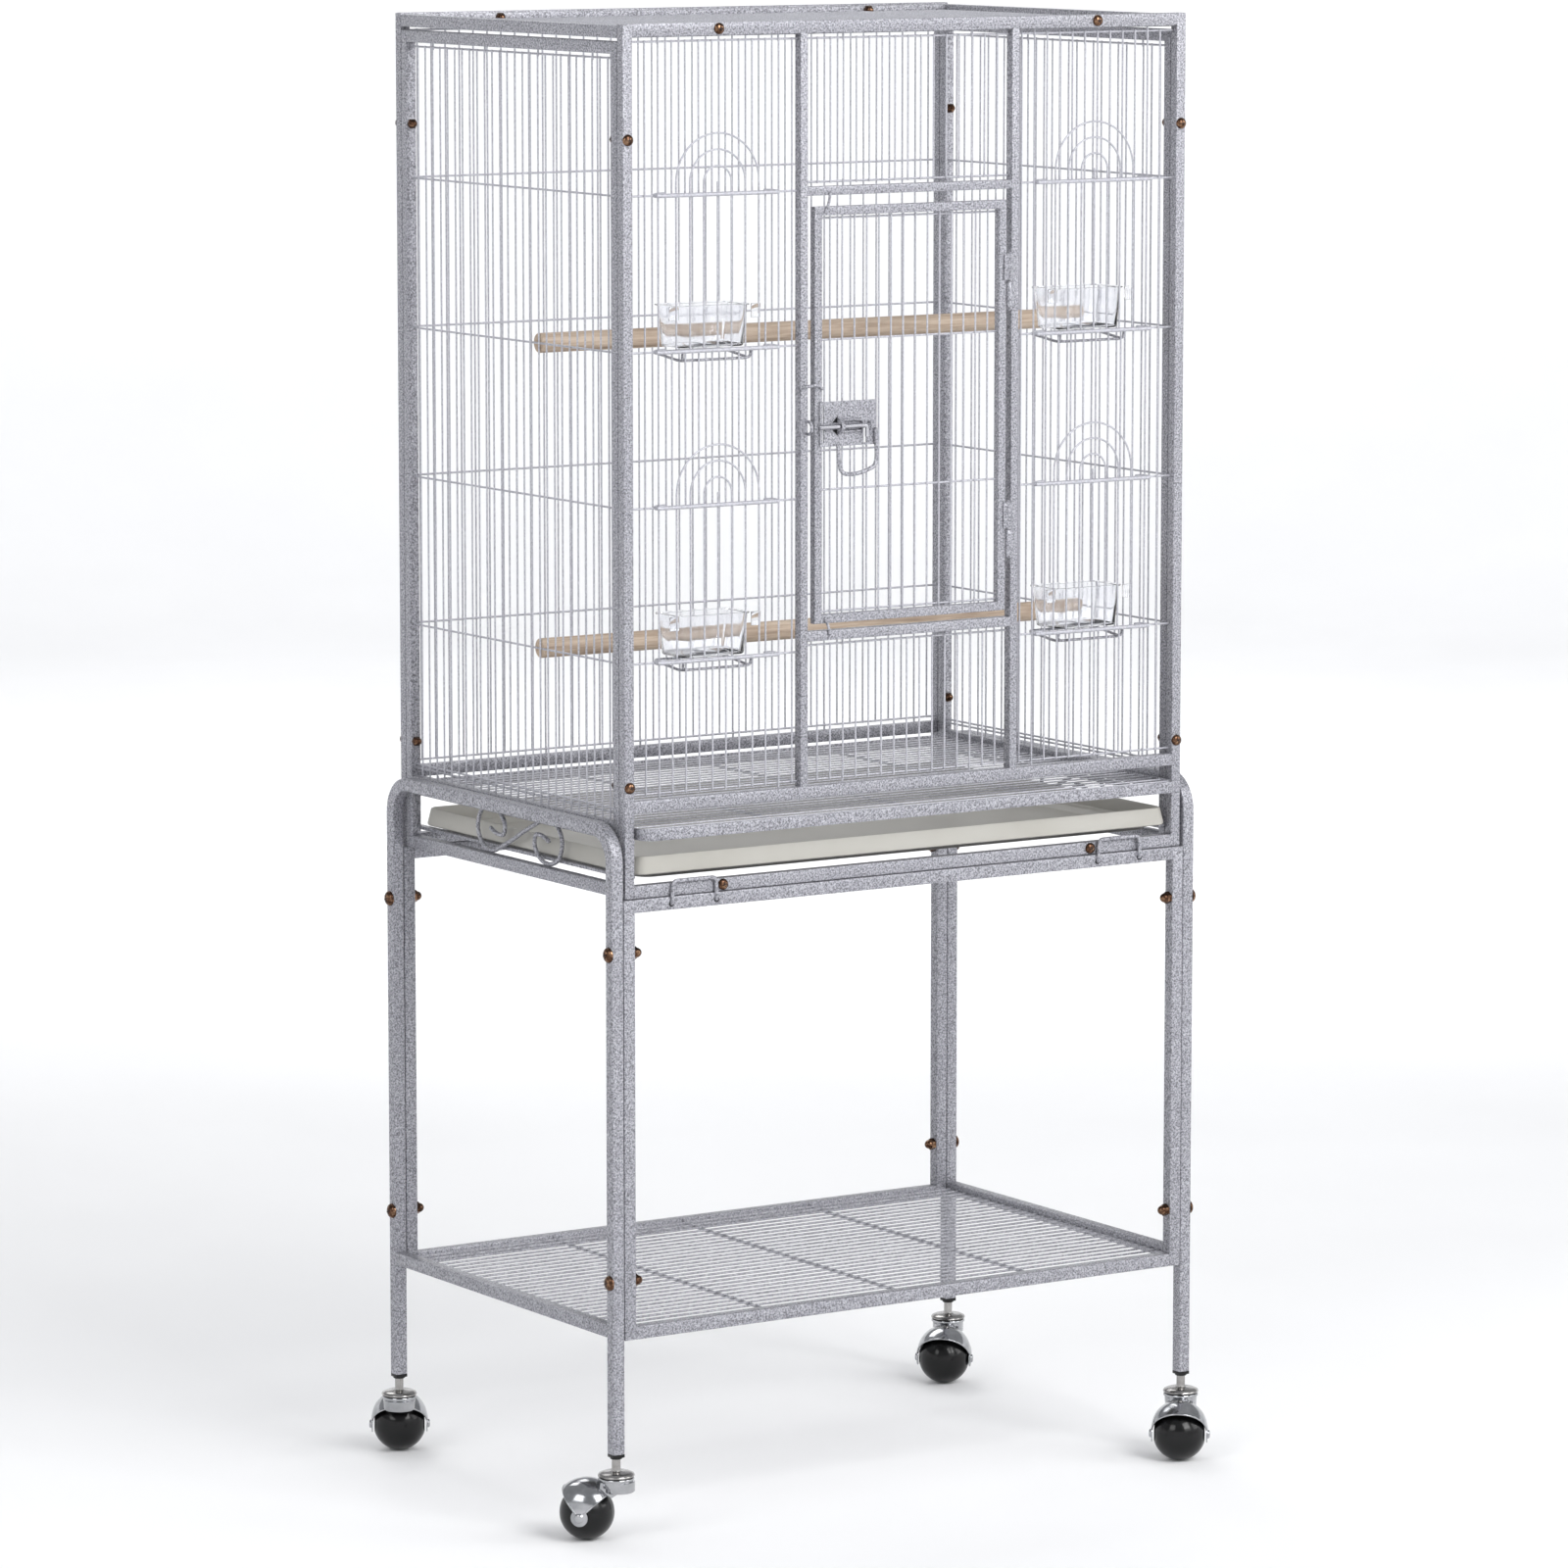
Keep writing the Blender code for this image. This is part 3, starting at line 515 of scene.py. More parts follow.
def acorn_nut(shape, point, direction, flat, height):
    """Hexagon nut with a domed cap on the inside end of a bolt."""
    place = facing(point, direction)
    shape.turned([(flat * 1.08, -0.0002), (flat * 1.08, height * 0.42), (flat * 0.98, height * 0.47)],
                 BRONZE, place, 6)
    cap = flat * 0.86
    shape.turned([(cap, height * 0.40)] + dome(cap, height * 0.42, height), BRONZE, place, 20)


# ---- cage panels
def panel_frame(name, y0, y1, sill):
    shape = Shape()
    for sign in (-1, 1):
        x0, x1 = sorted((sign * HALF_W, sign * INNER_W))
        shape.bar((x0, y0, FOOT), (x1, y1, TOP))
    for low, high in ((TOP_RAIL, TOP), sill, (FOOT, LOW_RAIL)):
        shape.bar((-INNER_W - WELD, y0, low), (INNER_W + WELD, y1, high))
    if name == "front_frame":
        for sign in (-1, 1):
            x0, x1 = sorted((sign * MULLION[0], sign * MULLION[1]))
            shape.bar((x0, y0, sill[1] - WELD), (x1, y1, TOP_RAIL + WELD))
        for low, high in (DOOR_HEAD, DOOR_FOOT):
            shape.bar((-MULLION[0] - WELD, y0, low), (MULLION[0] + WELD, y1, high))
    shape.show(name + "_tubes", "cage_and_stand", [name])


def mesh_wires(name, uprights, rows, span, height, at, ends, tabs=(), windows=(), along="x"):
    """Welded mesh: uprights in the plane of the panel, cross wires just inside it.

    height is where the uprights run, ends the rail faces that the tabs reach.
    """
    shape = Shape()
    inward = -1 if at > 0 else 1

    def point(u, z, out=0.0):
        if along == "x":
            return (u, at + inward * out, z)
        if along == "y":
            return (at + inward * out, u, z)
        return (u, z, at - out)

    for number, u in enumerate(uprights):
        stretches = [height]
        for first, last, bottom, top in windows:
            if first <= number <= last:
                cut = []
                for a, b in stretches:
                    cut += [(a, bottom), (top, b)] if a < bottom < b else [(a, b)]
                stretches = cut
        for a, b in stretches:
            shape.rod([point(u, a), point(u, b)], WIRE)
    for z in rows:
        shape.rod([point(span[0], z, 0.0014), point(span[1], z, 0.0014)], CROSS)
    tab = 0.003
    for u in tabs:
        for a, b in ((ends[0], height[0] + tab), (height[1] - tab, ends[1])):
            shape.rod([point(u, a, 0.0006), point(u, b, 0.0006)], WIRE * 1.1)
    return shape.show(name + "_wires", "cage_and_stand", [name])


def build_panels():
    panel_frame("front_frame", -HALF_D, -HALF_D + TUBE, SILL)
    panel_frame("back_frame", HALF_D - TUBE, HALF_D, BACK_SILL)

    first = 0.2795
    uprights = spread(-first, -first + 11 * PITCH, 12)
    low, high = SILL[1] + 0.0040, TOP_RAIL - 0.0035
    rows = [low + 0.001] + ROWS + [high - 0.001]
    windows = [(2, 8, ROWS[1], ROWS[0]), (2, 8, ROWS[3], ROWS[2])]
    ends = (SILL[1] - 0.001, TOP_RAIL + 0.001)
    edge_in, edge_out = MULLION[1] - 0.0006, INNER_W + 0.0006
    mesh_wires("front_mesh_left", uprights, rows, (-edge_out, -edge_in), (low, high), -MESH_Y,
               ends, (uprights[1], uprights[10]), windows)
    mirrored = [-u for u in reversed(uprights)]
    mesh_wires("front_mesh_right", mirrored, rows, (edge_in, edge_out), (low, high), -MESH_Y,
               ends, (mirrored[1], mirrored[10]), [(3, 9, w[2], w[3]) for w in windows])
    middle = spread(-0.0975, 0.0975, 15)
    inside = MULLION[0] + 0.0006
    mesh_wires("front_mesh_over_door", middle, [DOOR_HEAD[1] + 0.004, high - 0.001],
               (-inside, inside), (DOOR_HEAD[1] + 0.003, high), -MESH_Y,
               (DOOR_HEAD[1] - 0.001, TOP_RAIL + 0.001), (middle[2], middle[12]))
    mesh_wires("front_mesh_under_door", middle, [low + 0.001, DOOR_FOOT[0] - 0.004],
               (-inside, inside), (low, DOOR_FOOT[0] - 0.003), -MESH_Y,
               (SILL[1] - 0.001, DOOR_FOOT[0] + 0.001), (middle[2], middle[12]))

    wires = spread(-0.285, 0.285, 39)
    low = BACK_SILL[1] + 0.0040
    mesh_wires("back_mesh", wires, [low + 0.001] + ROWS + [high - 0.001], (-edge_out, edge_out),
               (low, high), MESH_Y, (BACK_SILL[1] - 0.001, TOP_RAIL + 0.001), wires[2::7])

    post = PANEL_Y - TUBE
    for side, sign in (("left", -1), ("right", 1)):
        x0, x1 = sorted((sign * HALF_W, sign * INNER_W))
        shape = Shape()
        for y0, y1 in ((-PANEL_Y, -post), (post, PANEL_Y)):
            shape.bar((x0, y0, FOOT), (x1, y1, SIDE_TOP[1]))
        for low, high in (SIDE_TOP, SIDE_MID, (FOOT, LOW_RAIL)):
            shape.bar((x0, -post - WELD, low), (x1, post + WELD, high))
        r0, r1 = sorted((sign * (INNER_W + 0.001), sign * (INNER_W - 0.007)))
        for bottom in (0.6005, 0.6325):
            shape.bar((r0, -PANEL_Y, bottom), (r1, PANEL_Y, bottom + 0.0030), edge=0.0006)
        shape.show(side + "_side_tubes", "cage_and_stand", [side + "_side_frame"])
        uprights = spread(-0.1670, 0.1670, 26)
        low, high = SIDE_MID[1] + 0.0006, SIDE_TOP[0] - 0.0030
        rows = [0.6590, 0.6625] + ROWS + [high - 0.001]
        mesh_wires(side + "_side_mesh", uprights, rows, (-post - 0.0006, post + 0.0006),
                   (low, high), sign * (HALF_W - TUBE / 2), (low, SIDE_TOP[0] + 0.001),
                   uprights[2::7], along="y")

    shape = Shape()
    low, high = 1.3475, 1.3585
    for sign in (-1, 1):
        x0, x1 = sorted((sign * HALF_W, sign * INNER_W))
        shape.bar((x0, -PANEL_Y, low), (x1, PANEL_Y, high))
        y0, y1 = sorted((sign * PANEL_Y, sign * post))
        shape.bar((-INNER_W - WELD, y0, low), (INNER_W + WELD, y1, high))
    shape.show("top_tubes", "cage_and_stand", ["top_frame"])
    mesh_wires("top_mesh", wires, spread(-post + 0.005, post - 0.005, 4), (-edge_out, edge_out),
               (-post + 0.001, post - 0.001), 1.3530, (-post - 0.001, post + 0.001), wires[2::7],
               along="z")

    half = HALF_W - TUBE / 2 - 0.0016
    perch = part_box("perch_upper")
    radius = (perch[1].z - perch[0].z) / 2
    for name in ("perch_upper", "perch_lower"):
        low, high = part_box(name)
        middle = (low + high) / 2
        rod = Shape()
        rod.turned([(0, -half), (radius - 0.0012, -half), (radius - 0.0003, -half + 0.0005),
                    (radius, -half + 0.0014), (radius, half - 0.0014),
                    (radius - 0.0003, half - 0.0005), (radius - 0.0012, half), (0, half)],
                   WOOD, sides=40)
        rod.carried(Matrix.Translation(middle) @ Matrix.Rotation(math.pi / 2, 4, "Y"))
        rod.show(name + "_dowel", "cage_and_stand", [name], "plain_wood", 50)


def build_bolts():
    """Domed bolts through the panels and the stand, with acorn nuts on the inside."""
    shape = Shape()
    for sy in (-1, 1):
        out = (0, sy, 0)
        back = (0, -sy, 0)
        for sx in (-1, 1):
            for x, z, depth in ((0.205, 1.3545, PANEL_Y - TUBE), (0.300, 1.2585, PANEL_Y - TUBE),
                                (0.300, 0.6840, PANEL_Y - TUBE), (0.202, 0.5898, HALF_D - TUBE)):
                domed_head(shape, (sx * x, sy * HALF_D, z), out, *CAGE_BOLT)
                acorn_nut(shape, (sx * x, sy * depth, z), back, *CAGE_NUT)
    for sx in (-1, 1):
        for sy in (-1, 1):
            for z in (0.535, 0.237):
                y = sy * (LEG_Y - LEG / 2)
                domed_head(shape, (sx * LEG_X, y, z), (sx, 0, 0), *STAND_BOLT)
                acorn_nut(shape, (sx * (LEG_X - 2 * LEG - 0.0003), y, z), (-sx, 0, 0), *STAND_NUT)
    shape.show("bolts_and_nuts", "cage_and_stand", slot="dark_steel")


# ---- door
def build_door():
    low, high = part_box("door_mesh")
    x0, x1, z0, z1 = -0.1035, 0.1050, 0.8185, 1.1940
    tube = 0.008
    y0, y1 = -HALF_D, -HALF_D + tube
    shape = Shape()
    half = tube / 2
    middle = (y0 + y1) / 2
    corners = [(x0 + half, middle, z0 + half), (x1 - half, middle, z0 + half),
               (x1 - half, middle, z1 - half), (x0 + half, middle, z1 - half)]
    shape.sweep(corners, rounded_square(half, half, 0.0009), (0, 1, 0), closed=True)
    for name in ("hinge_upper", "hinge_lower"):
        fixed_low, fixed_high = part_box(name)
        top = fixed_high.z + 0.0003
        place = Matrix.Translation((HINGE[0], HINGE[1], 0))
        shape.turned([(0, top), (0.0023, top), (0.0026, top + 0.0004), (0.0026, top + 0.0254),
                      (0.0022, top + 0.0258), (0.0013, top + 0.0260), (0.0013, top + 0.0268),
                      (0, top + 0.0272)], COAT, place, 20)
        shape.bar((0.1018, HINGE[1] - 0.0012, top + 0.0010),
                  (HINGE[0] - 0.0008, HINGE[1] + 0.0006, top + 0.0250), COAT, 0.0004)
        fixed = Shape()
        foot = fixed_low.z
        fixed.turned([(0, foot - 0.0010), (0.0013, foot - 0.0008), (0.0013, foot),
                      (0.0022, foot + 0.0001), (0.0026, foot + 0.0005),
                      (0.0026, fixed_high.z - 0.0004), (0.0023, fixed_high.z),
                      (0, fixed_high.z)], COAT, place, 20)
        fixed.bar((HINGE[0] + 0.0008, HINGE[1] - 0.0011, foot + 0.0010),
                  (HINGE[0] + 0.0048, HINGE[1] + 0.0007, fixed_high.z - 0.0008), COAT, 0.0004)
        fixed.show(name + "_knuckle", "cage_and_stand", [name])
    # wire stops that rest on the frame's face when the door is shut
    front = y0 - 0.0013
    shape.rod(bent([(-0.1170, front, 1.0330), (-0.1030, front - 0.0004, 1.0345),
                    (-0.0975, front + 0.0002, 1.0325), (-0.0965, front + 0.0010, 1.0300)], 0.002),
              0.0014, COAT, 12)
    for start, middle, end in ((1.2060, 1.1975, 1.1885), (0.8080, 0.8150, 0.8235)):
        shape.rod(bent([(-0.0880, front, start), (-0.0895, front - 0.0002, middle),
                        (-0.0930, front + 0.0004, end)], 0.003), 0.0013, COAT, 12)
    shape.show("door_tubes", "door", ["door_frame"])

    wires = Shape()
    in_y = (low.y + high.y) / 2
    for u in spread(low.x + 0.0100, high.x - 0.0100, 14):
        wires.rod([(u, in_y, low.z - 0.0015), (u, in_y, high.z + 0.0015)], WIRE)
    for z in (low.z + 0.002, 0.9393, 1.0744, high.z - 0.002):
        wires.rod([(low.x - 0.0015, in_y + 0.0014, z), (high.x + 0.0015, in_y + 0.0014, z)],
                  CROSS)
    wires.show("door_wires", "door", ["door_mesh"])

    build_latch()


def window(x0, z0, x1, z1):
    return [(x0, z0), (x1, z0), (x1, z1), (x0, z1)]


def build_latch():
    left, right, foot, head = -0.0991, -0.0393, 0.9785, 1.0190
    face = -0.2016
    thick = 0.0013
    outline = window(left, foot, right, head)
    slots = [[(-0.0800, ROD_Z + 0.0030), (-0.0800, ROD_Z + 0.0092), (-0.0862, ROD_Z + 0.0030)],
             [(-0.0862, ROD_Z - 0.0030), (-0.0800, ROD_Z - 0.0092), (-0.0800, ROD_Z - 0.0030)],
             window(-0.0530, foot + 0.0020, -0.0486, ROD_Z - 0.0010),
             window(-0.0962, foot + 0.0035, -0.0950, ROD_Z - 0.0030),
             window(-0.0962, ROD_Z + 0.0032, -0.0950, head - 0.0035)]
    plate = cut_plate("latch_plate_sheet", outline, slots, face, face + thick)
    shape = Shape()
    shape.add([v.co for v in plate.vertices], [list(p.vertices) for p in plate.polygons], COAT)
    bpy.data.meshes.remove(plate)
    # the pressed guide: a bridge over the rod and a raised channel beyond it
    bridge = [(-0.0788, face - 0.0002, ROD_Z - 0.0072), (-0.0788, face - 0.0040, ROD_Z - 0.0052),
              (-0.0788, face - 0.0073, ROD_Z - 0.0018), (-0.0788, face - 0.0073, ROD_Z + 0.0018),
              (-0.0788, face - 0.0040, ROD_Z + 0.0052), (-0.0788, face - 0.0002, ROD_Z + 0.0072)]
    shape.sweep(smooth_line(bridge, 4), rounded_square(0.0018, 0.0006, 0.0005, 2), (1, 0, 0))
    for sign in (-1, 1):
        edge = [(-0.0775, face + 0.0002, ROD_Z + sign * 0.0056),
                (-0.0740, face - 0.0012, ROD_Z + sign * 0.0052),
                (-0.0580, face - 0.0012, ROD_Z + sign * 0.0050),
                (-0.0545, face + 0.0002, ROD_Z + sign * 0.0040)]
        shape.rod(smooth_line(edge, 5), 0.0011, COAT, 12)
    shape.bar((-0.0560, face - 0.0052, ROD_Z - 0.0030), (-0.0545, face + 0.0002, ROD_Z + 0.0030),
              COAT, 0.0006)
    # painted shade: a dark sheet behind the triangular slots so that they read as dark openings
    shape.bar((-0.0868, face + thick - 0.0001, ROD_Z - 0.0098),
              (-0.0794, face + thick + 0.0004, ROD_Z + 0.0098), PAINTED_SHADE, 0.0001)
    ring = []
    for i in range(15):
        a = math.radians(-105 + 210 * i / 14)
        ring.append((-0.0462 + 0.0003 * i / 14, face - 0.0012 - 0.0030 * math.cos(a),
                     ROD_Z - 0.0014 + 0.0034 * math.sin(a)))
    shape.rod(ring, 0.0010, COAT, 10)
    # pull loop of bent wire under the plate
    loop = bent([(-0.0803, face - 0.0010, 0.9800), (-0.0803, face - 0.0016, 0.9650),
                 (-0.0770, face - 0.0022, 0.9532), (-0.0600, face - 0.0026, 0.9525),
                 (-0.0405, face - 0.0022, 0.9590), (-0.0390, face - 0.0018, 0.9700),
                 (-0.0402, face - 0.0010, 0.9930)], 0.0080, 8)
    shape.rod(loop, 0.0019, COAT, 14)
    shape.show("latch_plate_pressed", "door", ["latch_plate"])

    bolt = Shape()
    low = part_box("latch_bolt")[0]
    path = bent([(low.x, ROD_Y, ROD_Z), (-0.0512, ROD_Y, ROD_Z), (-0.0508, ROD_Y + 0.0008, 0.9862)],
                0.0040, 8)
    bolt.rod(path, 0.0020, ZINC, 18)
    bolt.show("latch_bolt_rod", "door_bolt", ["latch_bolt"], "bright_steel")

    catch = Shape()
    x = -0.1137
    ring = [(x, -0.1995, ROD_Z - 0.0052), (x, -0.2060, ROD_Z - 0.0056),
            (x - 0.0002, -0.2098, ROD_Z - 0.0030), (x - 0.0004, -0.2106, ROD_Z),
            (x - 0.0002, -0.2098, ROD_Z + 0.0030), (x, -0.2060, ROD_Z + 0.0056),
            (x, -0.1995, ROD_Z + 0.0052)]
    catch.rod(smooth_line(ring, 5), 0.0014, COAT, 14)
    catch.show("latch_catch_ring", "cage_and_stand", ["latch_catch"])


def cut_plate(name, outline, holes, front, back):
    """A sheet in the XZ plane with holes through it."""
    def prism(points, y0, y1):
        work = bmesh.new()
        near = [work.verts.new((x, y0, z)) for x, z in points]
        far = [work.verts.new((x, y1, z)) for x, z in points]
        work.faces.new(near)
        work.faces.new(far[::-1])
        for i in range(len(points)):
            j = (i + 1) % len(points)
            work.faces.new((near[i], far[i], far[j], near[j]))
        bmesh.ops.recalc_face_normals(work, faces=work.faces)
        mesh = bpy.data.meshes.new(name)
        work.to_mesh(mesh)
        work.free()
        return linked(name, mesh)

    base = prism(outline, front, back)
    cutters = [prism(h, front - 0.001, back + 0.001) for h in holes]
    for cutter in cutters:
        modifier = base.modifiers.new("cut", "BOOLEAN")
        modifier.operation = "DIFFERENCE"
        modifier.solver = "EXACT"
        modifier.object = cutter
    edge = base.modifiers.new("edge", "BEVEL")
    edge.width = 0.0003
    edge.segments = 2
    edge.limit_method = "ANGLE"
    bpy.context.view_layer.update()
    shown = base.evaluated_get(bpy.context.evaluated_depsgraph_get())
    result = bpy.data.meshes.new_from_object(shown)
    for item in cutters + [base]:
        bpy.data.objects.remove(item, do_unlink=True)
    return result


# ---- feeders
def feeder_door():
    shape = Shape()
    y = -0.1978
    half = 0.0624
    for z in (0.0, ROW_STEP):
        for sign in (-1, 1):
            hook = [(0.0, y, z), (sign * (half - 0.0045), y, z), (sign * half, y + 0.0012, z),
                    (sign * (half + 0.0012), y + 0.0040, z + 0.0002),
                    (sign * (half - 0.0010), y + 0.0064, z + 0.0005),
                    (sign * (half - 0.0060), y + 0.0062, z + 0.0008),
                    (sign * (half - 0.0100), y + 0.0050, z + 0.0010)]
            shape.rod(smooth_line(hook, 5), 0.0019, WIRE_COAT, 12)
    for number in (3, 2, 1):
        r = FEEDER_PITCH * number
        crown = ROW_STEP + (0.0540 - FEEDER_PITCH * (3 - number)) - r
        path = [(-r, y + 0.0009, -0.0012)]
        for i in range(25):
            a = math.pi - math.pi * i / 24
            path.append((r * math.cos(a), y + 0.0009, crown + r * math.sin(a)))
        path.append((r, y + 0.0009, -0.0012))
        shape.rod(path, WIRE, sides=10)
    shape.rod([(0, y + 0.0009, -0.0012), (0, y + 0.0009, ROW_STEP + 0.0110)], WIRE, sides=10)
    return shape


def feeder_cup():
    """Clear cup with a rolled rim and a front flange, its outside drawn in to the foot."""
    wide, deep, high = 0.0750, 0.0440, 0.0375
    wall = 0.0013
    stations = [(0.0040, 0.0), (0.0030, 0.0010), (0.0008, high * 0.7), (0.0, high - 0.0012),
                (-0.0016, high - 0.0010), (-0.0018, high), (wall, high + 0.0002),
                (wall + 0.0008, high * 0.7), (wall + 0.0029, wall + 0.0014), (wall + 0.0046, wall)]
    rings = [rounded_loop(wide / 2 - inset, inset * 0.5, deep - inset * 0.8, 0.0085, z, 7)
             for inset, z in stations]
    shape = Shape()
    shape.add(sum(rings, []), capped(len(rings), len(rings[0])), CLEAR)
    for sign in (-1, 1):
        x0, x1 = sorted((sign * (wide / 2 + 0.0006), sign * (wide / 2 + 0.0105)))
        shape.bar((x0, 0.0002, high - 0.0125), (x1, 0.0016, high), CLEAR, 0.0004)
    return shape


def cup_holder():
    """Wire cradle welded to the mesh below each cup."""
    shape = Shape()
    half = 0.0368
    front, back = -0.1915, -0.1478
    shape.rod(bent([(half, -0.1938, 0.0004), (half, -0.1925, -0.0075), (half - 0.004, front, -0.0088),
                    (-half, front, -0.0088), (-half - 0.0006, back, -0.0036),
                    (half, back, -0.0036), (half, front + 0.004, -0.0086)], 0.0060, 7),
              0.00125, COAT, 12)
    shape.rod(bent([(-half + 0.002, -0.1938, 0.0004), (-half + 0.002, -0.1925, -0.0070),
                    (-half + 0.006, front, -0.0088)], 0.004, 5), 0.00125, COAT, 12)
    return shape


def build_feeders():
    holders = Shape()
    for side, sign in (("left", -1), ("right", 1)):
        for level, row in (("upper", 1), ("lower", 3)):
            name = "%s_%s" % (side, level)
            at = Matrix.Translation((sign * FEEDER_X, 0, ROWS[row]))
            feeder_door().carried(at).show("feeder_arches_" + name, "feeder_door_" + name,
                                              ["feeder_door_" + name])
            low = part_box("feeder_cup_" + name)[0]
            at_cup = Matrix.Translation((sign * FEEDER_X, low.y, low.z))
            feeder_cup().carried(at_cup).show("cup_" + name, "feeder_cup_" + name,
                                              ["feeder_cup_" + name], "clear_plastic", 50)
            holder = cup_holder().carried(at)
            holders.add(holder.points, holder.faces, COAT)
    holders.show("cup_holders", "cage_and_stand")


# ---- floor of the cage
def build_floor():
    low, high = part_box("tray")
    rim = high.z - low.z
    skirt = rim - 0.0165
    rings = []
    for inset, lift, radius in (
            (0.0150, 0.0, 0.014), (0.0128, 0.0006, 0.014), (0.0112, skirt - 0.0008, 0.013),
            (0.0095, skirt, 0.012), (0.0012, skirt + 0.0002, 0.012), (0.0002, skirt + 0.0010, 0.012),
            (0.0, skirt + 0.0027, 0.012), (0.0022, rim - 0.0016, 0.012),
            (0.0026, rim - 0.0004, 0.0115), (0.0034, rim, 0.011),
            (0.0044, rim - 0.0004, 0.010), (0.0049, rim - 0.0015, 0.010),
            (0.0052, skirt + 0.0034, 0.009), (0.0062, skirt + 0.0023, 0.009),
            (0.0128, skirt + 0.0020, 0.010), (0.0140, skirt + 0.0014, 0.010),
            (0.0165, 0.0024, 0.010), (0.0180, 0.0019, 0.010)):
        rings.append(rounded_loop(high.x - inset, low.y + inset, high.y - inset, radius,
                                  low.z + lift))
    size = len(rings[0])
    faces = capped(len(rings), size)
    underside = len(faces) - 2
    tray = Shape()
    tray.add(sum(rings, []), faces, IVORY)
    tray.materials += [IVORY_INSIDE, IVORY_PAINTED_SHADE]
    for number in range(TRAY_RIM * size, len(faces)):
        tray.slots[number] = 1
    # the bands under the skirt and the underside take the painted shade ivory
    for number in list(range(TRAY_LIP * size)) + [underside]:
        tray.slots[number] = 2
    tray.show("tray_moulded", "pull_out_tray", ["tray"], "ivory_plastic", 40)

    low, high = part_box("floor_grate")
    grate = Shape()
    strip = 0.0010
    loop = rounded_loop(high.x - strip, low.y + strip, high.y - strip, 0.013, (low.z + high.z) / 2)
    grate.sweep(loop, rounded_square((high.z - low.z) / 2, strip, 0.0006, 2), (0, 0, 1), closed=True)
    inner = high.x - 2 * strip
    for y in spread(low.y + 0.014, high.y - 0.014, 28):
        grate.rod([(-inner - 0.001, y, high.z - 0.0015), (inner + 0.001, y, high.z - 0.0015)], WIRE)
    for x in CROSS_BARS:
        grate.rod([(x, low.y + strip, high.z - 0.0034), (x, high.y - strip, high.z - 0.0034)],
                  0.0013)
    grate.show("floor_grate_wires", "pull_out_grate", ["floor_grate"])


